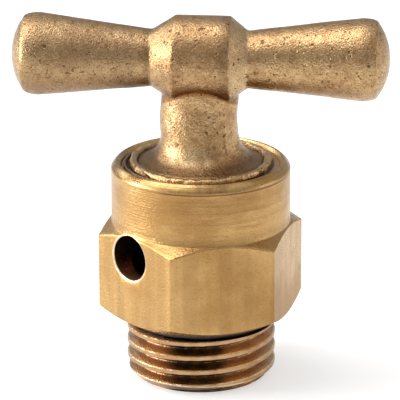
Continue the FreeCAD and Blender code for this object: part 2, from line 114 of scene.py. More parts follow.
def outline_rows(corners):
    """Points along an outline. A corner is (radius, height, number of steps to the next)."""
    rows = []
    for (r0, z0, steps), (r1, z1, _) in zip(corners, corners[1:] + corners[:1]):
        for step in range(steps):
            share = step / steps
            rows.append((r0 + (r1 - r0) * share, z0 + (z1 - z0) * share))
    return np.array(rows)


print("grid helpers are ready; a millimetre is", MM, "of a metre")

# %% [markdown]
# ## The valve body
# On the real part the body is turned from hexagonal bar: the cones above and below the hexagon
# leave curved edges on its flats, the collar is turned round and its rim is rolled in, and the
# stub carries a G 1/4 thread. All of it can be written as a radius for each angle and height, so
# one closed grid makes the body, and only the side port is cut with a boolean. All sizes are in
# millimetres, and bearings are in degrees around the axis from +X.

# %% Sizes of the hexagon, collar and port
HEX_FLAT = 8.0
HEX_CORNER = 9.238
HEX_BEARING = 18.0
HEX_EDGE = 0.10
COLLAR = 7.875
RIM_TOP = 13.78
PORT_BEARING = -136.3
PORT_HEIGHT = 6.35
PORT_RADIUS = 2.0
CORNER_SPAN = 1.75
CORNER_STEP = 0.25
FLAT_COLUMNS = 33
FAR_OUT = 99.0
LEAST_TURN = 0.3


def column_angles():
    """Angles around the axis, close together at the hexagon's corners."""
    near = np.arange(-CORNER_SPAN, CORNER_SPAN, CORNER_STEP)
    far = np.linspace(CORNER_SPAN, 60.0 - CORNER_SPAN, FLAT_COLUMNS, endpoint=False)
    sector = np.concatenate([near, far])
    return np.radians(np.concatenate([HEX_BEARING + 60.0 * k + sector for k in range(6)]))


def hexagon_radius(angles):
    """Distance from the axis to the hexagon's flats, with slightly eased corners."""
    reach = np.full(angles.shape, FAR_OUT)
    for k in range(6):
        turn = np.cos(angles - math.radians(HEX_BEARING + 30.0 + 60.0 * k))
        flat = np.where(turn > LEAST_TURN, HEX_FLAT / np.maximum(turn, LEAST_TURN), FAR_OUT)
        reach = soft_min(reach, flat, HEX_EDGE)
    return reach


print("hexagon:", HEX_FLAT * 2.0, "mm across its flats,", len(column_angles()), "columns")

# %% [markdown]
# A thread is a groove that climbs by its pitch with every turn. How far a point lies from the
# middle of the nearest groove, along the axis, says how far up the flank it is. The stub has the
# 55 degree flanks of a pipe thread, the plug's thread has the 60 degrees of a metric one.

# %% The threads
STUB_CREST = 6.5785
STUB_ROOT = 5.7225
STUB_PITCH = 1.337
STUB_GROOVE_Z = -6.799
STUB_GROOVE_HALF = 0.06
STUB_FILLET = 0.16
STUB_NOSE = 5.75
STUB_TOP = -0.85
STUB_END = -5.9
CREST_EDGE = 0.05
PLUG_BORE = 5.97
TOP_CREST = 6.52
TOP_PITCH = 1.0
TOP_GROOVE_Z = 11.12
TOP_GROOVE_HALF = 0.12
THREAD_EASE = 0.08
PIPE_SLOPE = math.tan(math.radians(27.5))
METRIC_SLOPE = math.tan(math.radians(30.0))


def groove_distance(angles, heights, pitch, groove_z):
    """Distance along the axis from the middle of the nearest turn of a groove."""
    along = heights - groove_z - pitch * angles / (2.0 * math.pi)
    return np.abs((along + pitch / 2.0) % pitch - pitch / 2.0)


def stub_radius(angles, heights):
    """The male thread: steep flanks with rounded crests and roots, and a chamfered end."""
    away = groove_distance(angles, heights, STUB_PITCH, STUB_GROOVE_Z)
    flank = STUB_ROOT + (away - STUB_GROOVE_HALF) / PIPE_SLOPE
    thread = soft_min(soft_max(flank, STUB_ROOT, STUB_FILLET), STUB_CREST, CREST_EDGE)
    return soft_min(thread, STUB_NOSE + (heights - STUB_END), THREAD_EASE)


def top_radius(angles, heights):
    """The inner thread that the plug runs in."""
    away = groove_distance(angles - math.pi / 2.0, heights, TOP_PITCH, TOP_GROOVE_Z)
    flank = TOP_CREST - (away - TOP_GROOVE_HALF) / METRIC_SLOPE
    return soft_max(soft_min(flank, TOP_CREST, THREAD_EASE), PLUG_BORE, THREAD_EASE)


print("male thread:", round((STUB_TOP - STUB_END) / STUB_PITCH, 1), "turns")

# %% [markdown]
# The body's outline is one closed loop: up the outside, over the rolled rim and down the inside.
# Each corner says in how many steps the next one is reached, many where a thread or a curved edge
# needs them and few on plain faces. Thread and hexagon are then written over their own rows.

# %% Build the valve body
RIM = [
    (COLLAR - 0.012, 12.96, 2), (COLLAR, 13.03, 2), (COLLAR + 0.012, 13.09, 1),
    (COLLAR - 0.01, 13.16, 2), (7.82, 13.28, 3), (7.70, 13.44, 3), (7.56, 13.59, 3),
    (7.42, 13.71, 2), (7.32, RIM_TOP - 0.01, 1), (7.24, RIM_TOP - 0.01, 2), (7.14, 13.71, 3),
    (7.02, 13.59, 3), (6.94, 13.48, 1), (6.90, 13.40, 3),
]
OUTSIDE = [
    (3.35, STUB_END, 5), (STUB_NOSE, STUB_END, 1), (STUB_NOSE + 0.05, STUB_END + 0.02, 130),
    (STUB_CREST, STUB_TOP - 0.03, 1), (STUB_CREST, STUB_TOP, 3), (5.50, STUB_TOP, 2),
    (5.50, 0.12, 2), (6.6285, 0.12, 1), (6.6285, 0.03, 1), (6.66, 0.0, 3), (7.44, 0.0, 1),
    (7.50, 0.01, 20), (HEX_CORNER, 1.0, 2), (HEX_CORNER, 1.15, 6), (HEX_CORNER, 6.4, 4),
    (HEX_CORNER, 7.5, 24), (COLLAR + 0.02, 8.285, 1), (COLLAR, 8.32, 8),
]
INSIDE = [
    (6.60, 13.40, 34), (6.50, 11.6, 1), (6.58, 11.58, 3), (6.58, 10.66, 1), (6.56, 10.65, 2),
    (5.99, 10.65, 1), (PLUG_BORE, 10.63, 6), (PLUG_BORE, 8.52, 1), (5.99, 8.5, 3), (6.58, 8.5, 1),
    (6.60, 8.48, 14), (6.60, 2.82, 1), (6.58, 2.8, 6), (2.72, 2.8, 1), (2.70, 2.82, 3),
    (2.70, 3.56, 1), (2.68, 3.58, 3), (1.92, 3.58, 1), (1.90, 3.56, 4), (1.90, 2.27, 2),
    (3.0, 1.6, 12), (3.0, STUB_END + 0.35, 2),
]
body_rows = outline_rows(OUTSIDE + RIM + INSIDE)
angles = column_angles()
turn, height = np.meshgrid(angles, body_rows[:, 1])
radius = np.repeat(body_rows[:, :1], len(angles), axis=1)
outer = (np.arange(len(body_rows)) < sum(steps for _, _, steps in OUTSIDE))[:, None]
in_stub = outer & within(height, STUB_END + 0.01, STUB_TOP + 0.001) & (radius > 5.76)
in_hexagon = outer & (height > 0.005) & (radius > 7.3)
in_top = ~outer & within(height, 11.595, 13.405) & within(radius, 6.4, 6.605)
radius = np.where(in_stub, stub_radius(turn, height), radius)
radius = np.where(in_hexagon, soft_min(radius, hexagon_radius(turn), 0.07), radius)
radius = np.where(in_top, top_radius(turn, height), radius)
body_points = around_axis(radius, turn, height)
valve_body = mesh_from_grid("valve_body_shell", body_points)
print("body grid:", body_points.shape)

# %% [markdown]
# The side port is drilled square to the axis, a few degrees off the middle of its flat, and its
# mouth is broken with a small bevel. Two cutters are taken away from the body, each with a boolean
# modifier that is made permanent: a plain drill, then a bevel that stands square to the flat.

# %% Cut the side port


def cut_with(piece, cutter):
    """Takes the cutter's shape out of the piece for good and removes the cutter."""
    boolean = piece.modifiers.new("cut", "BOOLEAN")
    boolean.operation = "DIFFERENCE"
    boolean.solver = "EXACT"
    boolean.object = cutter
    depsgraph = bpy.context.evaluated_depsgraph_get()
    cut = bpy.data.meshes.new_from_object(piece.evaluated_get(depsgraph))
    piece.modifiers.clear()
    piece.data = cut
    bpy.data.objects.remove(cutter)


def drill_points(stations, steps=72):
    """A round cutter along +X from (distance, radius) stations, in millimetres."""
    around = np.linspace(0.0, 2.0 * math.pi, steps, endpoint=False)
    rows = [np.stack([np.full(steps, x), r * np.cos(around), r * np.sin(around)], -1)
            for x, r in stations]
    return np.array(rows)


def place_cutter(cutter, bearing, sideways=0.0):
    """Turns a cutter to a bearing at the port's height and slides it along the flat."""
    slide = Matrix.Translation((0.0, sideways * MM, PORT_HEIGHT * MM))
    cutter.data.transform(Matrix.Rotation(math.radians(bearing), 4, "Z") @ slide)
    bpy.context.view_layer.update()


FLAT_BEARING = HEX_BEARING + 30.0 - 180.0
DRILL = [(4.5, PORT_RADIUS), (9.6, PORT_RADIUS)]
BEVEL = [(7.88, PORT_RADIUS - 0.06), (7.93, PORT_RADIUS + 0.01), (7.97, PORT_RADIUS + 0.06),
         (HEX_FLAT + 0.01, PORT_RADIUS + 0.14), (8.4, PORT_RADIUS + 0.9)]
drill = mesh_from_grid("port_drill", drill_points(DRILL), rows_close=False, cap_ends=True)
place_cutter(drill, PORT_BEARING)
cut_with(valve_body, drill)
port_slide = HEX_FLAT * math.tan(math.radians(PORT_BEARING - FLAT_BEARING))
bevel_cutter = mesh_from_grid("port_bevel", drill_points(BEVEL), rows_close=False, cap_ends=True)
place_cutter(bevel_cutter, FLAT_BEARING, port_slide)
cut_with(valve_body, bevel_cutter)
print("port is off the flat's middle by", round(port_slide, 2), "mm")
smooth_shade(valve_body, CRISP_ANGLE)
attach(valve_body, "body")
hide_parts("valve_body")

# %% [markdown]
# ## The T-handle
# The handle is cast: a cross bar with two flared arms, a short barrel in the middle, a stem and a
# dished flange. Castings have no sharp inner corners, so the parts are made as turned shapes,
# fused by a voxel remesh and relaxed until the seams run into each other, as the metal did in its
# mould. Small waves and pits are then pushed into the surface.

# %% Sizes of the handle
BAR_HEIGHT = 22.95
BAR_HALF = 16.45
BARREL = 3.77
STEM = 3.40
STEM_THINNED = 0.115
DOME = 5.4
DOME_EASE = 1.0
ARM_EDGE = (14.0, 3.60)
VOXEL = 0.12


def smooth_step(value, low, high):
    """0 below low, 1 above high, and smooth between."""
    share = np.clip((value - low) / (high - low), 0.0, 1.0)
    return share * share * (3.0 - 2.0 * share)


def turned_about(name, outline, axis, steps, height=0.0):
    """A turned shape from (distance along the axis, radius) pairs, closed at both ends."""
    around = np.linspace(0.0, 2.0 * math.pi, steps, endpoint=False)
    rows = []
    for along, r in outline:
        flat = np.full(steps, along)
        if axis == "X":
            rows.append(np.stack([flat, r * np.cos(around), height + r * np.sin(around)], -1))
        else:
            rows.append(around_axis(r, around, height + flat))
    return mesh_from_grid(name, np.array(rows), rows_close=False, cap_ends=True)


def rounded_end(tip, dome, edge_at, steps=10):
    """(distance, radius) pairs of an arm's end: a shallow dome, then a rounded edge."""
    edge_turn = math.asin((edge_at[1] - DOME_EASE - 0.02) / (dome - DOME_EASE))
    pairs = [(tip - dome + dome * math.cos(t), dome * math.sin(t))
             for t in np.linspace(0.02, edge_turn, steps)]
    first = pairs[-1]
    for share in np.linspace(0.0, 1.0, steps)[1:]:
        bow = math.sin(share * math.pi / 2.0)
        drop = 1.0 - math.cos(share * math.pi / 2.0)
        pairs.append((first[0] + (edge_at[0] - first[0]) * drop,
                      first[1] + (edge_at[1] - first[1]) * bow))
    return pairs


arm = rounded_end(BAR_HALF, DOME, ARM_EDGE)
right_side = [(4.2, 2.50), (4.02, 2.58), (2.62, 3.74), (2.5, BARREL)]
left_side = [(-2.12, BARREL), (-2.24, 3.74), (-4.1, 2.58), (-4.28, 2.50)]
bar_outline = arm + right_side + left_side + [(-x, r) for x, r in reversed(arm)]
cross_bar = turned_about("cross_bar", bar_outline, "X", 120, BAR_HEIGHT)

FLARE = [(16.2, STEM), (15.7, STEM + 0.06), (15.25, STEM + 0.20), (14.85, STEM + 0.42),
         (14.5, STEM + 0.72), (14.22, STEM + 1.06), (14.02, STEM + 1.42)]
stem_outline = [(BAR_HEIGHT, STEM), (20.5, STEM), (19.0, STEM - 0.02)] + FLARE + [
    (13.88, 5.10), (13.78, 5.38), (13.60, 5.60), (13.3, 5.7), (12.9, 5.6)]
stem = turned_about("stem", stem_outline, "Z", 180)
for corner in stem.data.vertices:
    corner.co.y *= 1.0 - STEM_THINNED * float(smooth_step(corner.co.z / MM, 16.4, 19.6))
print("stem depth under the bar:", round(2.0 * STEM * (1.0 - STEM_THINNED), 2), "mm")

# %% [markdown]
# Fusing works in millimetres, because a voxel remesh of a few hundredths of a metre loses its
# precision. Relaxing then moves each point toward its neighbours' mean and a little less far back,
# which melts the seams together but keeps the arms as thick as they were.

# %% Fuse and relax the casting
RELAX_SHARE = 0.5
RELAX_BACK = 0.96


def points_of(mesh, what="co"):
    """The places or the normals of a mesh's points, one row each."""
    values = np.empty(len(mesh.vertices) * 3)
    mesh.vertices.foreach_get(what, values)
    return values.reshape(-1, 3)


def relax(mesh, passes):
    """Moves every point part of the way to its neighbours' mean, as melted metal settles."""
    places = points_of(mesh)
    edges = np.empty(len(mesh.edges) * 2, dtype=np.int64)
    mesh.edges.foreach_get("vertices", edges)
    edges = edges.reshape(-1, 2)
    degree = np.bincount(edges.ravel(), minlength=len(places))[:, None]
    for _ in range(passes):
        for step in (RELAX_SHARE, -RELAX_SHARE * RELAX_BACK):
            total = np.zeros_like(places)
            np.add.at(total, edges[:, 0], places[edges[:, 1]])
            np.add.at(total, edges[:, 1], places[edges[:, 0]])
            places = places + step * (total / degree - places)
    mesh.vertices.foreach_set("co", places.ravel())
    mesh.update()


def fuse(name, parts, voxel):
    """One closed mesh from several overlapping ones. Works in millimetres for the voxels."""
    joined = bmesh.new()
    for part in parts:
        joined.from_mesh(part.data)
        bpy.data.objects.remove(part)
    bmesh.ops.scale(joined, vec=(1.0 / MM,) * 3, verts=joined.verts)
    mesh = bpy.data.meshes.new(name)
    joined.to_mesh(mesh)
    joined.free()
    piece = bpy.data.objects.new(name, mesh)
    bpy.context.scene.collection.objects.link(piece)
    remesh = piece.modifiers.new("fuse", "REMESH")
    remesh.mode = "VOXEL"
    remesh.voxel_size = voxel
    depsgraph = bpy.context.evaluated_depsgraph_get()
    fused = bpy.data.meshes.new_from_object(piece.evaluated_get(depsgraph))
    piece.modifiers.clear()
    piece.data = fused
    return piece


casting = fuse("t_handle_casting", [cross_bar, stem], VOXEL)
relax(casting.data, 4)
print("casting points:", len(casting.data.vertices))

# %% [markdown]
# Noise for shapes is made here once: values on a lattice, drawn from a fixed seed and blended
# smoothly between the lattice points, so every run gives the same surface.

# %% Noise for shapes
LATTICE = 64


def lattice_noise(places, size, seed):
    """Smooth random values between -1 and 1 that vary over about the given size."""
    table = np.random.default_rng(seed).uniform(-1.0, 1.0, (LATTICE, LATTICE, LATTICE))
    scaled = places / size
    cell = np.floor(scaled).astype(np.int64)
    blend = scaled - cell
    blend = blend * blend * (3.0 - 2.0 * blend)
    total = np.zeros(len(places))
    for corner in range(8):
        step = np.array([corner & 1, corner >> 1 & 1, corner >> 2 & 1])
        weight = np.prod(np.where(step, blend, 1.0 - blend), axis=1)
        spot = (cell + step) % LATTICE
        total += weight * table[spot[:, 0], spot[:, 1], spot[:, 2]]
    return total


def waves(places, layers):
    """Noise of several sizes added up. A layer is (depth in mm, size in mm, seed)."""
    return sum(depth * lattice_noise(places, size, seed) for depth, size, seed in layers)


print("lattice noise repeats after", LATTICE, "cells of its size")

# %% [markdown]
# The casting isn't perfect: its surface waves, a seam of the mould runs down the stem, pits are
# scattered over bar and stem, the arms bend up a little and the stem leans to one side. All of it
# is pushed into the points themselves, so that the outline shows it too.

# %% Waves, seam and pits in the casting
CAST_WAVES = ((0.035, 2.6, 3), (0.012, 0.9, 5), (0.006, 0.36, 7))
SEAM_BEARING = -44.0
SEAM_HEIGHT = 0.07
SEAM_WIDTH = 2.6
PITS = 90
PIT_DEPTH = 0.07
PIT_SIZE = 0.16
PIT_REACH = 3.1
ARM_LIFT = 0.017
ARM_START = 4.0
STEM_LEAN = 0.17
STEM_MIDDLE = 17.4


def roughen(mesh):
    """Pushes the casting's points along their normals by waves, a seam and a few pits."""
    places = points_of(mesh)
    push = waves(places, CAST_WAVES)
    bearing = np.degrees(np.arctan2(places[:, 1], places[:, 0]))
    on_stem = (np.hypot(places[:, 0], places[:, 1]) < 3.9) & (places[:, 2] < 19.8)
    push += SEAM_HEIGHT * np.exp(-((bearing - SEAM_BEARING) / SEAM_WIDTH) ** 2) * on_stem
    pits = np.random.default_rng(21).uniform(-1.0, 1.0, (PITS, 4))
    for along, round_it, size_share, where in pits:
        turn = round_it * math.pi
        if where > -0.4:
            spot = np.array([along * 16.0, PIT_REACH * math.cos(turn),
                             BAR_HEIGHT + PIT_REACH * math.sin(turn)])
        else:
            spot = around_axis(STEM, turn, 17.5 + 2.8 * along)
        size = PIT_SIZE + 0.10 * abs(size_share)
        push -= PIT_DEPTH * np.exp(-np.sum((places - spot) ** 2, axis=1) / (size * size))
    places = places + points_of(mesh, "normal") * push[:, None]
    beyond = np.maximum(np.abs(places[:, 0]) - ARM_START, 0.0)
    places[:, 2] += ARM_LIFT * beyond
    places[:, 0] -= STEM_LEAN * np.exp(-((places[:, 2] - STEM_MIDDLE) / 1.8) ** 2)
    mesh.vertices.foreach_set("co", (places * MM).ravel())
    mesh.update()
    print("deepest push:", round(float(-push.min()), 3), "mm")


roughen(casting.data)
smooth_shade(casting, ALL_SMOOTH)
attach(casting, "handle")
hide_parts("t_handle")

# %% [markdown]
# The flange's edge is a lumpy lip, as the mould's joint left it, and below it a thin ridge of the
# plug stands in the rim's mouth. This ring is modelled on its own because its lumps are finer
# than the voxels: one closed section, carried round the axis and pushed about by noise.

# %% The flange's lip
LIP_SECTION = np.array([
    (5.15, 13.20), (5.45, 13.55), (5.55, 13.82), (5.64, 13.98), (5.82, 14.05), (6.04, 14.02),
    (6.18, 13.88), (6.24, 13.66), (6.28, 13.42), (6.38, 13.32), (6.48, 13.38), (6.56, 13.56),
    (6.66, 13.62), (6.76, 13.60), (6.82, 13.50), (6.84, 13.35), (6.78, 13.22), (6.40, 13.05)])
LIP_FRONT = -85.0
LIP_STEPS = 720
LIP_LUMPS = ((0.09, 0.62, 31), (0.05, 0.30, 33))
LIP_SAG = ((0.08, 0.75, 35), (0.04, 0.33, 37))


def closed_section(corners, count):
    """Evenly spaced points along a closed outline, its corners slightly rounded."""
    ring = np.vstack([corners, corners[:1]])
    lengths = np.r_[0.0, np.cumsum(np.hypot(*np.diff(ring, axis=0).T))]
    spots = np.linspace(0.0, lengths[-1], count, endpoint=False)
    points = np.stack([np.interp(spots, lengths, ring[:, k]) for k in (0, 1)], -1)
    for _ in range(2):
        points = 0.25 * np.roll(points, 1, 0) + 0.5 * points + 0.25 * np.roll(points, -1, 0)
    return points


section = closed_section(LIP_SECTION, 84)
lip_turn = np.linspace(0.0, 2.0 * math.pi, LIP_STEPS, endpoint=False)
lip_reach = np.repeat(section[:, :1], LIP_STEPS, axis=1)
lip_height = np.repeat(section[:, 1:], LIP_STEPS, axis=1)
from_front = (np.degrees(lip_turn) - LIP_FRONT + 180.0) % 360.0 - 180.0
front = np.maximum(np.cos(np.radians(from_front)), 0.0) ** 2
on_lip = smooth_step(lip_reach, 5.4, 5.7) * (1.0 - smooth_step(lip_reach, 6.2, 6.5))
on_ridge = smooth_step(lip_reach, 6.35, 6.6)
lip_reach = lip_reach + on_lip * (0.36 * front)[None, :]
lip_height = lip_height - on_lip * (0.12 * front)[None, :]
ridge_gone = smooth_step(from_front, 8.0, 34.0) * (1.0 - smooth_step(from_front, 120.0, 160.0))
lip_reach = lip_reach - on_ridge * (0.34 * ridge_gone)[None, :]
lip_height = lip_height - on_ridge * (0.16 * ridge_gone)[None, :]
spots = around_axis(lip_reach, lip_turn, lip_height).reshape(-1, 3)
lip_weight = on_lip + 0.25 * on_ridge
lip_reach = lip_reach + lip_weight * waves(spots, LIP_LUMPS).reshape(lip_reach.shape)
lip_height = lip_height + lip_weight * waves(spots, LIP_SAG).reshape(lip_reach.shape)
flange_lip = mesh_from_grid("flange_lip", around_axis(lip_reach, lip_turn, lip_height))
smooth_shade(flange_lip, ALL_SMOOTH)
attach(flange_lip, "handle")
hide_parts("t_handle")

# %% [markdown]
# The screw plug under the flange is machined, not cast: it has its thread, a plain land with the
# ring's groove, and a nose that carries the valve disc. It is hidden in the body, but its first
# turn shows at the rim, so it gets real ridges like the stub's.

# %% The machined plug
PLUG_CREST = 6.42
PLUG_ROOT = 5.92
PLUG_GROOVE_Z = 10.37
PLUG_GROOVE_HALF = 0.10
PLUG_START = 10.75


def plug_radius(angles, heights):
    """The plug's thread with a chamfered start."""
    away = groove_distance(angles, heights, TOP_PITCH, PLUG_GROOVE_Z)
    flank = PLUG_ROOT + (away - PLUG_GROOVE_HALF) / METRIC_SLOPE
    thread = soft_min(soft_max(flank, PLUG_ROOT, THREAD_EASE), PLUG_CREST, 0.10)
    return soft_min(thread, 5.9 + (heights - PLUG_START) * 1.04, 0.05)


PLUG_OUTLINE = [
    (5.0, 13.30, 2), (6.1, 13.30, 1), (6.2, 13.28, 56), (6.0, 10.76, 1), (5.90, 10.75, 6),
    (5.90, 9.66, 1), (5.88, 9.65, 3), (5.07, 9.65, 1), (5.05, 9.63, 4), (5.05, 8.67, 1),
    (5.07, 8.65, 3), (5.88, 8.65, 1), (5.90, 8.63, 2), (5.90, 8.55, 2), (5.65, 8.30, 6),
    (2.82, 8.30, 1), (2.80, 8.28, 12), (2.80, 5.57, 1), (2.55, 5.32, 3), (1.57, 5.32, 1),
    (1.55, 5.34, 8), (1.55, 7.15, 1), (1.95, 7.15, 2), (1.95, 7.55, 1), (1.55, 7.55, 3),
    (1.55, 8.18, 1), (1.50, 8.20, 2), (0.30, 8.20, 1), (0.30, 9.0, 4),
]
plug_rows = outline_rows(PLUG_OUTLINE)
plug_turn, plug_height = np.meshgrid(np.radians(np.arange(0.0, 360.0, 2.0)), plug_rows[:, 1])
plug_reach = np.repeat(plug_rows[:, :1], plug_turn.shape[1], axis=1)
threaded = within(plug_height, PLUG_START + 0.005, 13.29) & (plug_reach > 5.96)
plug_reach = np.where(threaded, plug_radius(plug_turn, plug_height), plug_reach)
plug = mesh_from_grid("screw_plug", around_axis(plug_reach, plug_turn, plug_height))
smooth_shade(plug, CRISP_ANGLE)
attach(plug, "handle")
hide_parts("t_handle")

# %% [markdown]
# ## Brass
# Brass is a metal, so its colour is the colour of what it reflects, tinted yellow. Three effects
# make it look worked rather than plain: slow changes of tone from handling, fine lines left by
# the tool, and the grain of a blasted casting. Each is a node group, built once, so that every
# brass piece can use it with its own values.

# %% Node helpers


def new_group(name, inputs, outputs):
    """An empty shader group with named sockets: (name, kind, default)."""
    group = bpy.data.node_groups.new(name, "ShaderNodeTree")
    for label, kind, value in inputs:
        socket = group.interface.new_socket(name=label, in_out="INPUT", socket_type=kind)
        if value is not None:
            socket.default_value = value
    for label, kind in outputs:
        group.interface.new_socket(name=label, in_out="OUTPUT", socket_type=kind)
    start = group.nodes.new("NodeGroupInput")
    end = group.nodes.new("NodeGroupOutput")
    return group, start, end


def math_node(tree, operation, first, second=None, third=None, clamp=False):
    """A Math node fed by sockets or plain numbers. Gives its output."""
    node = tree.nodes.new("ShaderNodeMath")
    node.operation = operation
    node.use_clamp = clamp
    for slot, value in enumerate((first, second, third)):
        if value is None:
            continue
        if isinstance(value, (int, float)):
            node.inputs[slot].default_value = value
        else:
            tree.links.new(value, node.inputs[slot])
    return node.outputs[0]


def noise_node(tree, vector, scale, detail=3.0, rough=0.55):
    """A Noise texture on the given coordinates. Gives its value output."""
    node = tree.nodes.new("ShaderNodeTexNoise")
    node.inputs["Detail"].default_value = detail
    node.inputs["Roughness"].default_value = rough
    if isinstance(scale, (int, float)):
        node.inputs["Scale"].default_value = scale
    else:
        tree.links.new(scale, node.inputs["Scale"])
    tree.links.new(vector, node.inputs["Vector"])
    return node.outputs["Fac"]


def ramp_node(tree, value, low, high, out_low=0.0, out_high=1.0):
    """Maps a value from one range to another, smoothly and clamped."""
    node = tree.nodes.new("ShaderNodeMapRange")
    node.interpolation_type = "SMOOTHSTEP"
    for label, number in (("From Min", low), ("From Max", high), ("To Min", out_low),
                          ("To Max", out_high)):
        node.inputs[label].default_value = number
    tree.links.new(value, node.inputs["Value"])
    return node.outputs["Result"]


def mix_colours(tree, share, first, second, mode="MIX"):
    """A colour mix fed by sockets or plain colours. Gives its output."""
    node = tree.nodes.new("ShaderNodeMix")
    node.data_type = "RGBA"
    node.blend_type = mode
    for label, value in ((0, share), (6, first), (7, second)):
        if isinstance(value, (int, float, tuple)):
            node.inputs[label].default_value = value
        else:
            tree.links.new(value, node.inputs[label])
    return node.outputs[2]


# %% [markdown]
# Tone: brass darkens and browns where it is touched and stays bright where it is rubbed. The
# group mixes a clean and a browned colour with slow noise, and adds small stains.

# %% The brass tone group
tone, tone_in, tone_out = new_group("brass_tone", [
    ("Clean", "NodeSocketColor", (0.8, 0.6, 0.3, 1.0)),
    ("Browned", "NodeSocketColor", (0.6, 0.4, 0.2, 1.0)),
    ("Scale", "NodeSocketFloat", 160.0),
    ("Stain", "NodeSocketFloat", 0.3)],
    [("Color", "NodeSocketColor"), ("Mask", "NodeSocketFloat")])
tone_place = tone.nodes.new("ShaderNodeTexCoord").outputs["Object"]
slow = noise_node(tone, tone_place, tone_in.outputs["Scale"], 4.0, 0.6)
slow = ramp_node(tone, slow, 0.36, 0.68)
speck = noise_node(tone, tone_place, 2600.0, 2.0, 0.5)
speck = ramp_node(tone, speck, 0.60, 0.74)
stained = math_node(tone, "MULTIPLY", speck, tone_in.outputs["Stain"])
amount = math_node(tone, "ADD", slow, stained, clamp=True)
mixed = mix_colours(tone, amount, tone_in.outputs["Clean"], tone_in.outputs["Browned"])
tone.links.new(mixed, tone_out.inputs["Color"])
tone.links.new(amount, tone_out.inputs["Mask"])

# %% [markdown]
# Tool lines: a turned face carries fine rings, a drawn bar carries fine lines along its length.
# Both are noise that is stretched hard in one direction. The group takes the stretch as a vector.

# %% The tool line group
lines, lines_in, lines_out = new_group("tool_lines", [
    ("Place", "NodeSocketVector", None),
    ("Fineness", "NodeSocketFloat", 1.0)],
    [("Height", "NodeSocketFloat"), ("Streak", "NodeSocketFloat")])
fine = noise_node(lines, lines_in.outputs["Place"], lines_in.outputs["Fineness"], 3.0, 0.65)
broad_scale = math_node(lines, "MULTIPLY", lines_in.outputs["Fineness"], 0.22)
broad = noise_node(lines, lines_in.outputs["Place"], broad_scale, 2.0, 0.5)
height_sum = math_node(lines, "ADD", math_node(lines, "MULTIPLY", fine, 0.7),
                       math_node(lines, "MULTIPLY", broad, 0.3))
lines.links.new(height_sum, lines_out.inputs["Height"])
lines.links.new(ramp_node(lines, broad, 0.35, 0.65), lines_out.inputs["Streak"])

# %% [markdown]
# Cast grain: blasting leaves a field of tiny craters, with a few deeper pits. Cell noise gives
# the craters, plain noise breaks their evenness.

# %% The cast grain group
grain, grain_in, grain_out = new_group("cast_grain", [
    ("Scale", "NodeSocketFloat", 3000.0),
    ("Pits", "NodeSocketFloat", 0.5)],
    [("Height", "NodeSocketFloat"), ("Dark", "NodeSocketFloat")])
grain_place = grain.nodes.new("ShaderNodeTexCoord").outputs["Object"]
crater = grain.nodes.new("ShaderNodeTexVoronoi")
crater.feature = "SMOOTH_F1"
crater.inputs["Smoothness"].default_value = 0.4
grain.links.new(grain_place, crater.inputs["Vector"])
grain.links.new(grain_in.outputs["Scale"], crater.inputs["Scale"])
uneven = noise_node(grain, grain_place, grain_in.outputs["Scale"], 4.0, 0.7)
crater_part = math_node(grain, "MULTIPLY", crater.outputs["Distance"], 0.8)
pit_scale = math_node(grain, "MULTIPLY", grain_in.outputs["Scale"], 0.45)
pit = ramp_node(grain, noise_node(grain, grain_place, pit_scale, 2.0, 0.5), 0.62, 0.72)
pit = math_node(grain, "MULTIPLY", pit, grain_in.outputs["Pits"])
grain_height = math_node(grain, "SUBTRACT", math_node(grain, "ADD", crater_part, uneven), pit)
fleck_scale = math_node(grain, "MULTIPLY", grain_in.outputs["Scale"], 1.3)
fleck = ramp_node(grain, noise_node(grain, grain_place, fleck_scale, 2.0, 0.6), 0.50, 0.66)
dark = math_node(grain, "MAXIMUM", pit, math_node(grain, "MULTIPLY", fleck, 0.6))
grain.links.new(grain_height, grain_out.inputs["Height"])
grain.links.new(dark, grain_out.inputs["Dark"])

# %% [markdown]
# A finish or a painted light belongs to a place: dirt in a groove, a painted highlight on a
# crest's edge. A mask picks the place out. It is 1 where the finish or light belongs, 0 where it
# doesn't, and in between at its edge. The helpers below measure places in millimetres, multiply
# masks, and lay colours over one another, so that each finish and each painted light becomes one
# short line.

# %% Helpers for masks


def times(tree, *factors):
    """The product of masks or numbers: 1 only where every mask is 1."""
    total = factors[0]
    for factor in factors[1:]:
        total = math_node(tree, "MULTIPLY", total, factor)
    return total


def length_of(tree, first, second):
    """The length of a flat vector from its two parts."""
    return math_node(tree, "SQRT", math_node(
        tree, "ADD", times(tree, first, first), times(tree, second, second)))


def place_parts(tree):
    """The place in metres as a vector, then x, y, z and reach from the axis in millimetres."""
    coordinate = tree.nodes.new("ShaderNodeTexCoord").outputs["Object"]
    split = tree.nodes.new("ShaderNodeSeparateXYZ")
    tree.links.new(coordinate, split.inputs[0])
    x, y, z = [times(tree, part, 1.0 / MM) for part in split.outputs]
    return coordinate, x, y, z, length_of(tree, x, y)


def vector_of(tree, parts, factors):
    """A vector from three sockets or numbers, each multiplied by its factor."""
    node = tree.nodes.new("ShaderNodeCombineXYZ")
    for slot, (part, factor) in enumerate(zip(parts, factors)):
        tree.links.new(times(tree, part, factor), node.inputs[slot])
    return node.outputs[0]


def region(tree, *limits):
    """A mask where all limits hold: (z, 8.0, 8.3) rises from 0 at 8.0 to 1 at 8.3 mm, and
    (z, 8.3, 8.0) falls. A mask that is already made can stand among the limits."""
    return times(tree, *(ramp_node(tree, *limit) if isinstance(limit, tuple) else limit
                         for limit in limits))


def patchy(tree, coordinate, scale, low, high, weakest):
    """A mottled mask from noise that never gets weaker than the last value."""
    return ramp_node(tree, noise_node(tree, coordinate, scale, 3.0, 0.6), low, high, weakest, 1.0)


def switch(tree, mask, off, on):
    """The first value where the mask is 0, the second where it is 1."""
    node = tree.nodes.new("ShaderNodeMix")
    for slot, value in ((0, mask), (2, off), (3, on)):
        tree.links.new(value, node.inputs[slot])
    return node.outputs[0]


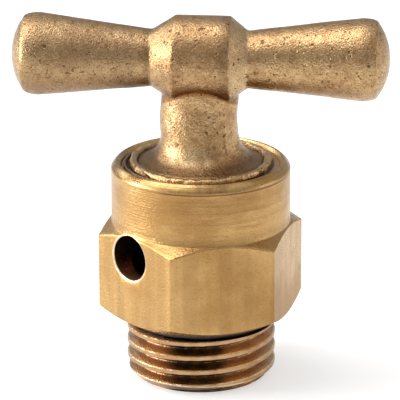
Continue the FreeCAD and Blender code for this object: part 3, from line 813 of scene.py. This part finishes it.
def paint(tree, under, layers):
    """Lays colours over one another. A layer is (mask, share, colour)."""
    for mask, share, colour in layers:
        under = mix_colours(tree, times(tree, mask, share), under, colour)
    return under


print("mask helpers are ready")

# %% Helpers for materials
FINE_RELIEF = 0.00007
FAINT_RELIEF = 0.00003


def new_material(name, metal, rough, base):
    """A material with its Principled BSDF set to plain values."""
    material = bpy.data.materials.new(name)
    material.use_nodes = True
    shader = material.node_tree.nodes["Principled BSDF"]
    shader.inputs["Metallic"].default_value = metal
    shader.inputs["Roughness"].default_value = rough
    shader.inputs["Base Color"].default_value = base
    return material, material.node_tree, shader


def add_group(tree, group, **values):
    """Places a node group and sets its inputs: a number, a colour or a socket."""
    node = tree.nodes.new("ShaderNodeGroup")
    node.node_tree = group
    for label, value in values.items():
        if isinstance(value, (int, float, tuple)):
            node.inputs[label].default_value = value
        else:
            tree.links.new(value, node.inputs[label])
    return node


def add_bump(tree, shader, height, distance, strength):
    """A Bump node between a height and the shader's normal."""
    node = tree.nodes.new("ShaderNodeBump")
    node.inputs["Strength"].default_value = strength
    node.inputs["Distance"].default_value = distance
    tree.links.new(height, node.inputs["Height"])
    tree.links.new(node.outputs["Normal"], shader.inputs["Normal"])


def put_on(piece, material):
    """Gives a piece one material in place of any it had."""
    piece.data.materials.clear()
    piece.data.materials.append(material)
    print(piece.name, "gets", material.name)


def plain_finish(tree, shader, tone_node, height, relief, strength, rough):
    """Colour and roughness straight from a tone group, over a relief."""
    add_bump(tree, shader, height, relief, strength)
    tree.links.new(tone_node.outputs["Color"], shader.inputs["Base Color"])
    tree.links.new(ramp_node(tree, tone_node.outputs["Mask"], 0.0, 1.0, *rough),
                   shader.inputs["Roughness"])


# %% [markdown]
# The body's brass knows where it is: rings on the turned collar, drawn lines along the flats, and
# a smoother rolled rim. Height and distance from the axis tell these places apart, because the
# mesh stays at the origin. Lines and grain together make the relief that catches the light.

# %% The body's brass: tone and tool lines
CLEAN = (0.575, 0.355, 0.142, 1.0)
BROWNED = (0.43, 0.240, 0.083, 1.0)
RINGS_PER_MM = 9.0
DRAWN_STRETCH = (3.6, 3.6, 0.26)
body_brass, tree, shader = new_material("machined_brass", 1.0, 0.3, CLEAN)
coordinate, x, y, z, reach = place_parts(tree)
body_tone = add_group(tree, tone, Clean=CLEAN, Browned=BROWNED, Scale=170.0, Stain=0.35)
body_grain = add_group(tree, grain, Scale=5600.0, Pits=0.35)
above_hexagon = region(tree, (z, 8.0, 8.3))
on_rim = region(tree, (z, 13.0, 13.4))
on_stub = region(tree, (z, -0.1, -0.3))
turn_part = math_node(tree, "ARCTAN2", y, x)
ring_lines = add_group(tree, lines, Fineness=1.0, Place=vector_of(
    tree, (z, reach, turn_part), (RINGS_PER_MM, RINGS_PER_MM, 0.6)))
drawn_lines = add_group(tree, lines, Fineness=1.0, Place=vector_of(
    tree, (x, y, z), DRAWN_STRETCH))
line_height, line_streak = [
    switch(tree, above_hexagon, drawn_lines.outputs[label], ring_lines.outputs[label])
    for label in ("Height", "Streak")]
surface = math_node(tree, "ADD", line_height, times(tree, body_grain.outputs["Height"], 0.45))
calm = math_node(tree, "SUBTRACT", 1.0, times(tree, on_rim, 0.50))
add_bump(tree, shader, times(tree, surface, calm), FINE_RELIEF, 0.7)
print("body relief:", FINE_RELIEF * 1000.0, "mm deep at most")

# %% [markdown]
# The male thread is redder than the rest, as if it had been pickled, and cutting oil and dirt stay
# in its grooves. The crest edges carry a painted highlight, and the crest tops are painted a
# little darker between them. A mask of how much a place faces forward adds painted shade at the
# front, so that the flanks and grooves are nearly black there. The inside of the body is darkened
# with painted shade.

# %% The body's thread and chamber
COPPERED = (0.57, 0.355, 0.205, 1.0)
# Painted shade for the crest tops and a painted highlight for the crest edges.
PAINTED_CREST_SHADE = (0.48, 0.30, 0.160, 1.0)
PAINTED_CREST_HIGHLIGHT = (0.98, 0.74, 0.46, 1.0)
# Painted shade for the front of the thread. The grooves get dirt at the sides and painted shade,
# nearly black, at the front.
PAINTED_FRONT_SHADE = (0.050, 0.040, 0.034, 1.0)
GROOVE_SIDE = (0.41, 0.240, 0.155, 1.0)
PAINTED_GROOVE_SHADE = (0.050, 0.038, 0.032, 1.0)
# Painted shade for the inside of the body.
PAINTED_CHAMBER_SHADE = (0.10, 0.045, 0.018, 1.0)
oil = patchy(tree, vector_of(tree, (x, y, z), (0.23, 0.23, 0.5)), 1.0, 0.38, 0.60, 0.35)
in_groove = region(tree, (reach, 6.50, 6.00), on_stub, oil)
# Masks of the crest tops, which get painted shade, and of the crest edges, which get a painted
# highlight.
crest_flat = region(tree, (reach, 6.56, 6.575))
near_crest = math_node(tree, "SUBTRACT", region(tree, (reach, 6.40, 6.48)), crest_flat)
highlit_crest_edge = math_node(tree, "MULTIPLY", near_crest, on_stub, clamp=True)
# How far a place faces forward sets the painted shade at the front and in the grooves.
facing = math_node(tree, "DIVIDE", times(tree, y, -1.0), reach)
front_shade = region(tree, (facing, 0.86, 0.985), on_stub, (reach, 6.54, 6.40))
groove_dirt_and_shade = mix_colours(tree, region(tree, (facing, 0.80, 0.98)), GROOVE_SIDE, PAINTED_GROOVE_SHADE)
# The inside of the body, away from the thread, gets painted shade.
inside = region(tree, (reach, 6.7, 6.3), math_node(tree, "SUBTRACT", 1.0, on_stub))
thread_paint = paint(tree, body_tone.outputs["Color"], [
    (on_stub, 0.65, COPPERED),
    (times(tree, crest_flat, on_stub), 0.45, PAINTED_CREST_SHADE),
    (highlit_crest_edge, 1.0, PAINTED_CREST_HIGHLIGHT),
    (front_shade, 0.80, PAINTED_FRONT_SHADE),
    (in_groove, 0.92, groove_dirt_and_shade),
    (inside, 0.6, PAINTED_CHAMBER_SHADE)])
print("thread: crests from", STUB_CREST, "mm down to roots at", STUB_ROOT, "mm")

# %% [markdown]
# The port is darkened inside with painted shade and has a painted coppery glint low on its wall.
# Its bevel has a painted highlight, the brightest line on the hexagon. The distance from the
# drill's axis picks out both. It comes from the place written along and across the drill.

# %% The body's port
# Painted shade inside the port, a painted glint on its wall and a painted highlight on its bevel.
PAINTED_PORT_SHADE = (0.060, 0.036, 0.026, 1.0)
PAINTED_PORT_GLINT = (0.85, 0.43, 0.24, 1.0)
PAINTED_BEVEL_HIGHLIGHT = (0.92, 0.76, 0.52, 1.0)
port_cos = math.cos(math.radians(PORT_BEARING))
port_sin = math.sin(math.radians(PORT_BEARING))
port_side = math_node(tree, "SUBTRACT", times(tree, x, port_sin), times(tree, y, port_cos))
port_out = math_node(tree, "ADD", times(tree, x, port_cos), times(tree, y, port_sin))
port_rise = math_node(tree, "SUBTRACT", z, PORT_HEIGHT)
from_port = length_of(tree, port_side, port_rise)
outward = region(tree, (port_out, 5.0, 5.5))
# Masks for the painted shade inside the port, its painted glint and its bevel's painted highlight.
in_port = region(tree, (from_port, 2.06, 2.01), outward)
low_in_port = region(tree, in_port, (port_rise, -0.3, -1.5), (port_out, 5.6, 6.8))
on_bevel = region(tree, (from_port, 2.00, 2.03), (from_port, 2.20, 2.15), outward)
port_paint = paint(tree, thread_paint, [
    (in_port, 0.90, PAINTED_PORT_SHADE), (low_in_port, 0.95, PAINTED_PORT_GLINT), (on_bevel, 0.9, PAINTED_BEVEL_HIGHLIGHT)])
print("port colours reach", round(2.20 - PORT_RADIUS, 2), "mm past the drill's edge")

# %% [markdown]
# The rim is rolled in, and rolling polishes it; its polished band is painted brighter and also
# carries a painted highlight. It has a brown patch at the front, a dull left end and a dark line
# where it starts. The collar has reddish streaks from handling. Last come the streaks of the tool
# lines and the specks of the grain, which lie on everything.

# %% The body's rim and collar
# Real polish and a painted highlight on the rim's band.
RIM_POLISH_AND_HIGHLIGHT = (0.74, 0.51, 0.235, 1.0)
RIM_BROWN = (0.27, 0.150, 0.062, 1.0)
RIM_DULL = (0.22, 0.150, 0.085, 1.0)
RIM_LINE = (0.12, 0.062, 0.024, 1.0)
COLLAR_RED = (0.36, 0.150, 0.055, 1.0)
LINE_BROWN = (0.30, 0.165, 0.060, 1.0)
SPECK_DARK = (0.17, 0.085, 0.030, 1.0)
# The rim's band, brightened for its polish and with a painted highlight.
polished_highlit_rim = region(tree, (z, 13.05, 13.25), (reach, 6.9, 7.1))
rim_polish = ramp_node(tree, noise_node(tree, coordinate, 1900.0, 4.0, 0.6),
                       0.40, 0.62, 0.48, 0.18)
red_place = vector_of(tree, (x, 0.0, z), (0.42, 1.0, 1.9))
red_streak = region(tree, (noise_node(tree, red_place, 1.0, 3.0, 0.6), 0.50, 0.66),
                    (y, -4.0, -6.0), (x, -3.0, 0.0), (z, 8.8, 9.6), (z, 13.1, 12.6))
rim_patch = region(tree, (x, -0.6, 0.6), (x, 3.6, 2.4), (y, -5.0, -6.2), (z, 13.08, 13.22),
                   patchy(tree, coordinate, 2400.0, 0.34, 0.60, 0.45))
dull_end = region(tree, (x, -6.0, -6.8), (z, 13.15, 13.40),
                  patchy(tree, coordinate, 3000.0, 0.36, 0.58, 0.30))
under_rim = region(tree, (z, 12.85, 12.92), (z, 13.07, 13.00), (x, -4.5, -2.0))
body_paint = paint(tree, port_paint, [
    (polished_highlit_rim, rim_polish, RIM_POLISH_AND_HIGHLIGHT),
    (red_streak, 0.45, COLLAR_RED),
    (rim_patch, 0.80, RIM_BROWN),
    (dull_end, 0.6, RIM_DULL),
    (under_rim, 0.85, RIM_LINE),
    (line_streak, 0.36, LINE_BROWN),
    (body_grain.outputs["Dark"], 0.35, SPECK_DARK)])
tree.links.new(body_paint, shader.inputs["Base Color"])
rough = ramp_node(tree, body_tone.outputs["Mask"], 0.0, 1.0, 0.27, 0.40)
for mask, polish in ((on_rim, 0.04), (on_stub, 0.08)):
    rough = math_node(tree, "SUBTRACT", rough, times(tree, mask, polish))
tree.links.new(rough, shader.inputs["Roughness"])
put_on(valve_body, body_brass)

# %% [markdown]
# The casting is duller than the machined body. Its tone is mottled brown and bright, and its pits
# are dark. First come the bar's places: painted shade under the left arm, in the crevice where the
# stem meets the bar and at the roots of the arms; a left arm painted duller and darker, partly as
# painted shade; and a painted highlight on the right shoulder.

# %% The casting's brass: the bar
CAST_CLEAN = (0.56, 0.362, 0.174, 1.0)
CAST_BROWNED = (0.40, 0.236, 0.111, 1.0)
MOTTLE_BROWN = (0.30, 0.155, 0.066, 1.0)
MOTTLE_BRIGHT = (0.74, 0.53, 0.29, 1.0)
PAINTED_UNDER_ARM_SHADE = (0.24, 0.145, 0.080, 1.0)
PAINTED_CREVICE_SHADE = (0.250, 0.105, 0.032, 1.0)
PAINTED_ROOT_SHADE = (0.16, 0.095, 0.050, 1.0)
LEFT_ARM_GREY_AND_SHADE = (0.235, 0.150, 0.092, 1.0)
PAINTED_SHOULDER_HIGHLIGHT = (0.70, 0.50, 0.28, 1.0)
cast_brass, tree, shader = new_material("cast_brass", 1.0, 0.33, CAST_CLEAN)
coordinate, x, y, z, reach = place_parts(tree)
cast_tone = add_group(tree, tone, Clean=CAST_CLEAN, Browned=CAST_BROWNED, Scale=210.0, Stain=0.5)
cast_grain = add_group(tree, grain, Scale=5900.0, Pits=1.0)
add_bump(tree, shader, cast_grain.outputs["Height"], FINE_RELIEF, 0.5)
mottle = noise_node(tree, coordinate, 1500.0, 4.0, 0.68)
# Painted shade on the underside of the left arm.
shaded_under_arm = region(tree, (z, 22.8, 20.5), (x, -4.0, -6.0))
from_bar = length_of(tree, y, math_node(tree, "SUBTRACT", BAR_HEIGHT, z))
from_stem = length_of(tree, x, times(tree, y, 1.0 / (1.0 - STEM_THINNED)))
# Painted shade in the crevice where the stem meets the bar.
crevice = region(tree, (from_bar, 4.02, 3.85), (from_stem, 4.00, 3.56), (z, 22.5, 21.8))
# Painted shade at the root of the left arm and at the right end of the barrel's land.
shaded_left_root = region(tree, (x, -4.05, -4.25), (x, -5.4, -4.5))
shaded_land_end = region(tree, (x, 1.3, 2.2), (x, 2.68, 2.55), (z, 19.5, 20.5))
# The left arm is rougher and is painted greyer and darker, partly as painted shade.
dull_shaded_left_arm = region(tree, (x, -4.6, -6.0), (x, -15.8, -14.6))
# A painted highlight on the right shoulder.
shoulder = region(tree, (x, 2.62, 2.85), (x, 4.4, 4.1), (z, 19.5, 20.5))
bar_paint = paint(tree, cast_tone.outputs["Color"], [
    (region(tree, (mottle, 0.50, 0.62)), 0.50, MOTTLE_BROWN),
    (region(tree, (mottle, 0.47, 0.36)), 0.34, MOTTLE_BRIGHT),
    (shaded_under_arm, 0.55, PAINTED_UNDER_ARM_SHADE),
    (crevice, 0.85, PAINTED_CREVICE_SHADE),
    (math_node(tree, "MAXIMUM", shaded_left_root, shaded_land_end), 0.40, PAINTED_ROOT_SHADE),
    (dull_shaded_left_arm, 0.38, LEFT_ARM_GREY_AND_SHADE),
    (shoulder, 0.5, PAINTED_SHOULDER_HIGHLIGHT)])
print("casting: brass of two tones, mottled, with seven finishes on its bar")

# %% [markdown]
# The stem's foot has painted highlights on facets at the front left, and the flange's dish is
# painted darker. The lip's top is rubbed and also carries a painted highlight, and the gully
# behind it is painted almost black with painted shade.

# %% The casting's brass: foot, dish and lip
PAINTED_FOOT_HIGHLIGHT = (0.78, 0.58, 0.33, 1.0)
DISH_DARK = (0.15, 0.080, 0.034, 1.0)
FOOT_DARK = (0.10, 0.055, 0.026, 1.0)
LIP_RUB_AND_HIGHLIGHT = (0.66, 0.46, 0.23, 1.0)
PAINTED_GULLY_SHADE = (0.035, 0.020, 0.010, 1.0)
PIT_DARK = (0.12, 0.070, 0.034, 1.0)
# Painted highlights on facets of the foot at the front left.
foot_noise = noise_node(tree, vector_of(tree, (x, y, z), (0.9, 0.9, 0.3)), 1.0, 2.0, 0.5)
foot = region(tree, (z, 14.1, 14.4), (z, 16.0, 15.2), (x, 1.8, 0.6), (y, -1.8, -3.0),
              (foot_noise, 0.32, 0.66))
# The dish is painted darker and made rougher.
in_dish = region(tree, (z, 15.0, 14.2), (reach, 3.8, 4.6), (reach, 5.7, 5.4))
left_foot = region(tree, (x, -3.3, -3.8), (z, 16.0, 15.2), (reach, 4.8, 4.2))
# The lip's top is rubbed, so it is a little smoother, and it gets a painted highlight.
rubbed_highlit_lip = region(tree, (z, 13.72, 13.92), (z, 14.6, 14.3), (reach, 5.5, 5.7))
# Painted shade, almost black, in the gully behind the lip.
shaded_gully = region(tree, (z, 13.62, 13.45), (reach, 5.0, 5.3))
cast_paint = paint(tree, bar_paint, [
    (foot, 0.60, PAINTED_FOOT_HIGHLIGHT),
    (in_dish, 0.70, DISH_DARK),
    (left_foot, 0.80, FOOT_DARK),
    (rubbed_highlit_lip, 0.5, LIP_RUB_AND_HIGHLIGHT),
    (shaded_gully, 0.9, PAINTED_GULLY_SHADE),
    (cast_grain.outputs["Dark"], 0.95, PIT_DARK)])
tree.links.new(cast_paint, shader.inputs["Base Color"])
cast_rough = ramp_node(tree, cast_tone.outputs["Mask"], 0.0, 1.0, 0.27, 0.37)
for mask, change in ((rubbed_highlit_lip, -0.02), (in_dish, 0.08), (dull_shaded_left_arm, 0.09)):
    cast_rough = math_node(tree, "ADD", cast_rough, times(tree, mask, change))
tree.links.new(cast_rough, shader.inputs["Roughness"])
for cast_piece in (casting, flange_lip):
    put_on(cast_piece, cast_brass)

# %% [markdown]
# The plug is machined from the same metal, so it gets turned rings and a plainer tone. Only its
# first turn is ever seen, at the rim.

# %% The plug's brass
PLUG_CLEAN = (0.56, 0.34, 0.14, 1.0)
PLUG_BROWNED = (0.33, 0.18, 0.07, 1.0)
PLUG_RELIEF = 0.00005
plug_brass, tree, shader = new_material("plug_brass", 1.0, 0.35, BROWNED)
_, x, y, z, reach = place_parts(tree)
plug_tone = add_group(tree, tone, Clean=PLUG_CLEAN, Browned=PLUG_BROWNED, Scale=400.0, Stain=0.5)
plug_lines = add_group(tree, lines, Fineness=1.0, Place=vector_of(
    tree, (z, reach, 0.0), (RINGS_PER_MM, RINGS_PER_MM, 1.0)))
plain_finish(tree, shader, plug_tone, plug_lines.outputs["Height"], PLUG_RELIEF, 0.5, (0.3, 0.45))
put_on(plug, plug_brass)

# %% [markdown]
# ## Rubber and steel
# The rings and the seat seal are black nitrile rubber with a faint bloom. The black thread seal
# ring under the hexagon is a seal and also stands in for shade: it fills the dark band there. The
# screw, washer and clip are plain steel. They sit inside, so their imported shapes are right as
# they are, and only their materials change.

# %% Rubber
RUBBER = (0.012, 0.011, 0.011, 1.0)
RUBBER_CLEAN = (0.010, 0.009, 0.009, 1.0)
RUBBER_BLOOMED = (0.028, 0.025, 0.024, 1.0)
black_rubber, tree, shader = new_material("black_rubber", 0.0, 0.5, RUBBER)
rubber_bloom = add_group(tree, tone, Clean=RUBBER_CLEAN, Browned=RUBBER_BLOOMED, Scale=900.0,
                         Stain=0.4)
rubber_grain = add_group(tree, grain, Scale=5200.0, Pits=0.1)
plain_finish(tree, shader, rubber_bloom, rubber_grain.outputs["Height"], FAINT_RELIEF, 0.4,
             (0.42, 0.6))
# The thread seal ring's black is a seal's colour and also stands in for the shade under the
# hexagon.
for node_name in ("thread_seal_ring", "plug_o_ring", "seat_seal"):
    put_on(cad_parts[node_name], black_rubber)

# %% Steel, and the valve disc's brass
STEEL = (0.55, 0.55, 0.56, 1.0)
STEEL_CLEAN = (0.60, 0.60, 0.61, 1.0)
STEEL_DULL = (0.40, 0.39, 0.38, 1.0)
plain_steel, tree, shader = new_material("plain_steel", 1.0, 0.35, STEEL)
_, x, y, z, reach = place_parts(tree)
steel_tone = add_group(tree, tone, Clean=STEEL_CLEAN, Browned=STEEL_DULL, Scale=900.0, Stain=0.2)
steel_lines = add_group(tree, lines, Fineness=1.0, Place=vector_of(
    tree, (reach, z, 0.0), (14.0, 14.0, 1.0)))
plain_finish(tree, shader, steel_tone, steel_lines.outputs["Height"], FAINT_RELIEF, 0.4,
             (0.28, 0.42))
for node_name in ("seal_screw", "seal_washer", "disc_clip"):
    put_on(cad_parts[node_name], plain_steel)
put_on(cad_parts["valve_disc"], plug_brass)

# %% [markdown]
# ## Floor, light and camera
# The photograph has a plain white ground. The floor and the world are white to the camera and in
# reflections, while a lower light falls on the part itself, so that the brass keeps its colour.
# Soft lamps stand to the left, above and to the right, as in a product shot.

# %% Floor and world
WHITE = (1.0, 1.0, 1.0, 1.0)
FLOOR_GREY = (0.60, 0.60, 0.60, 1.0)
FLOOR_GLOW = 0.44
FLOOR_CAMERA_GLOW = 0.07
SKY_LOW = 0.45
bpy.ops.mesh.primitive_plane_add(size=6.0, location=(0.0, 0.0, STUB_END * MM))
floor = bpy.context.object
floor.name = "floor"
floor_paint, tree, shader = new_material("pale_floor", 0.0, 0.7, FLOOR_GREY)
shader.inputs["Specular IOR Level"].default_value = 0.1
shader.inputs["Emission Color"].default_value = WHITE
camera_ray = tree.nodes.new("ShaderNodeLightPath").outputs["Is Camera Ray"]
floor_glow = math_node(tree, "ADD", FLOOR_GLOW, times(tree, camera_ray, FLOOR_CAMERA_GLOW))
tree.links.new(floor_glow, shader.inputs["Emission Strength"])
put_on(floor, floor_paint)

world = bpy.data.worlds.new("studio")
bpy.context.scene.world = world
world.use_nodes = True
tree = world.node_tree
sky = tree.nodes["Background"]
sky.inputs["Color"].default_value = WHITE
ray = tree.nodes.new("ShaderNodeLightPath").outputs
seen = math_node(tree, "MAXIMUM", ray["Is Camera Ray"], math_node(
    tree, "MAXIMUM", ray["Is Glossy Ray"], ray["Is Transmission Ray"]))
sky_light = math_node(tree, "ADD", SKY_LOW, times(tree, seen, 1.0 - SKY_LOW))
tree.links.new(sky_light, sky.inputs["Strength"])
print("the sky gives", SKY_LOW, "of the light that the camera sees in it")

# %% [markdown]
# Metal shows what stands around it. A grey tent, unseen by the camera, gives the brass its softly
# graded sides. Its roof is brighter than its wall, as under a ceiling light.

# %% The grey tent around the table
TENT = 900.0
TENT_WALL_TOP = 46.0
TENT_GREY = (0.30, 0.30, 0.30, 1.0)
around = np.linspace(0.0, 2.0 * math.pi, 48, endpoint=False)


def tent_part(name, low, high, glow):
    """A band of the tent between two elevations in degrees, softly lit by itself."""
    rows = [around_axis(TENT * math.cos(t), around,
                        np.full(len(around), STUB_END + TENT * math.sin(t)))
            for t in np.radians(np.linspace(low, high, 10))]
    band = mesh_from_grid(name, np.array(rows), rows_close=False)
    band.visible_camera = False
    cloth, _, shader = new_material(name + "_cloth", 0.0, 0.9, TENT_GREY)
    shader.inputs["Emission Color"].default_value = WHITE
    shader.inputs["Emission Strength"].default_value = glow
    put_on(band, cloth)


tent_part("tent_side", 0.0, TENT_WALL_TOP, 0.22)
tent_part("tent_roof", TENT_WALL_TOP, 89.0, 0.62)

# %% [markdown]
# Four soft lamps make the highlights. The left one draws the bright lines down stem and collar,
# the one above lights the tops of the arms, and two weak ones lift the back and the right side.

# %% Lamps
LAMP_AIM = Vector((0.0, 0.0, 0.010))


def soft_lamp(name, place, size, power, tint=(1.0, 1.0, 1.0)):
    """A soft lamp that looks at the part. Its size is (width, length), length pointing upward."""
    data = bpy.data.lights.new(name, "AREA")
    data.shape = "RECTANGLE"
    data.size, data.size_y = size
    data.energy = power
    data.color = tint
    lamp = bpy.data.objects.new(name, data)
    bpy.context.scene.collection.objects.link(lamp)
    lamp.location = place
    lamp.visible_camera = False
    lamp.rotation_euler = (LAMP_AIM - lamp.location).to_track_quat("-Z", "Y").to_euler()
    print(name, "at", place, "gives", power, "W")


soft_lamp("left_lamp", (-0.25, -0.04, 0.075), (0.15, 0.15), 0.66, (0.98, 1.0, 1.0))
soft_lamp("left_back_lamp", (-0.23, 0.16, 0.16), (0.12, 0.12), 0.14)
soft_lamp("top_lamp", (-0.13, 0.02, 0.30), (0.16, 0.24), 0.58)
soft_lamp("right_lamp", (0.27, 0.03, 0.075), (0.13, 0.10), 0.08)

# %% [markdown]
# The camera stands where the photograph's did: its height and distance were worked out from the
# ellipse of the rim, the corners of the hexagon and the thread's ends.

# %% Camera
CAMERA_BEARING = -85.35
CAMERA_RISE = 18.413
CAMERA_DISTANCE = 0.28084
AIM_HEIGHT = 0.010486
PIXELS = 400.0
FOCAL_PIXELS = 3193.5
AIM_PIXEL = (200.79, 194.8)
ROLL = -0.157
SENSOR = 36.0

camera_data = bpy.data.cameras.new("camera")
camera = bpy.data.objects.new("camera", camera_data)
bpy.context.scene.collection.objects.link(camera)
bpy.context.scene.camera = camera
camera_data.sensor_width = SENSOR
camera_data.lens = FOCAL_PIXELS / PIXELS * SENSOR
camera_data.clip_start = 0.01
bearing = math.radians(CAMERA_BEARING)
rise = math.radians(CAMERA_RISE)
back = Vector((math.cos(bearing) * math.cos(rise), math.sin(bearing) * math.cos(rise),
               math.sin(rise)))
turn_quat = (-back).to_track_quat("-Z", "Y")
right = turn_quat @ Vector((1.0, 0.0, 0.0))
up = turn_quat @ Vector((0.0, 1.0, 0.0))
per_pixel = CAMERA_DISTANCE / FOCAL_PIXELS
camera.location = (Vector((0.0, 0.0, AIM_HEIGHT)) + back * CAMERA_DISTANCE
                   - right * (AIM_PIXEL[0] - PIXELS / 2.0) * per_pixel
                   + up * (AIM_PIXEL[1] - PIXELS / 2.0) * per_pixel)
camera.rotation_mode = "QUATERNION"
camera.rotation_quaternion = (
    turn_quat.to_matrix() @ Matrix.Rotation(math.radians(ROLL), 3, "Z")).to_quaternion()
bpy.context.scene.view_settings.view_transform = "Standard"
print("camera at", [round(v, 4) for v in camera.location])
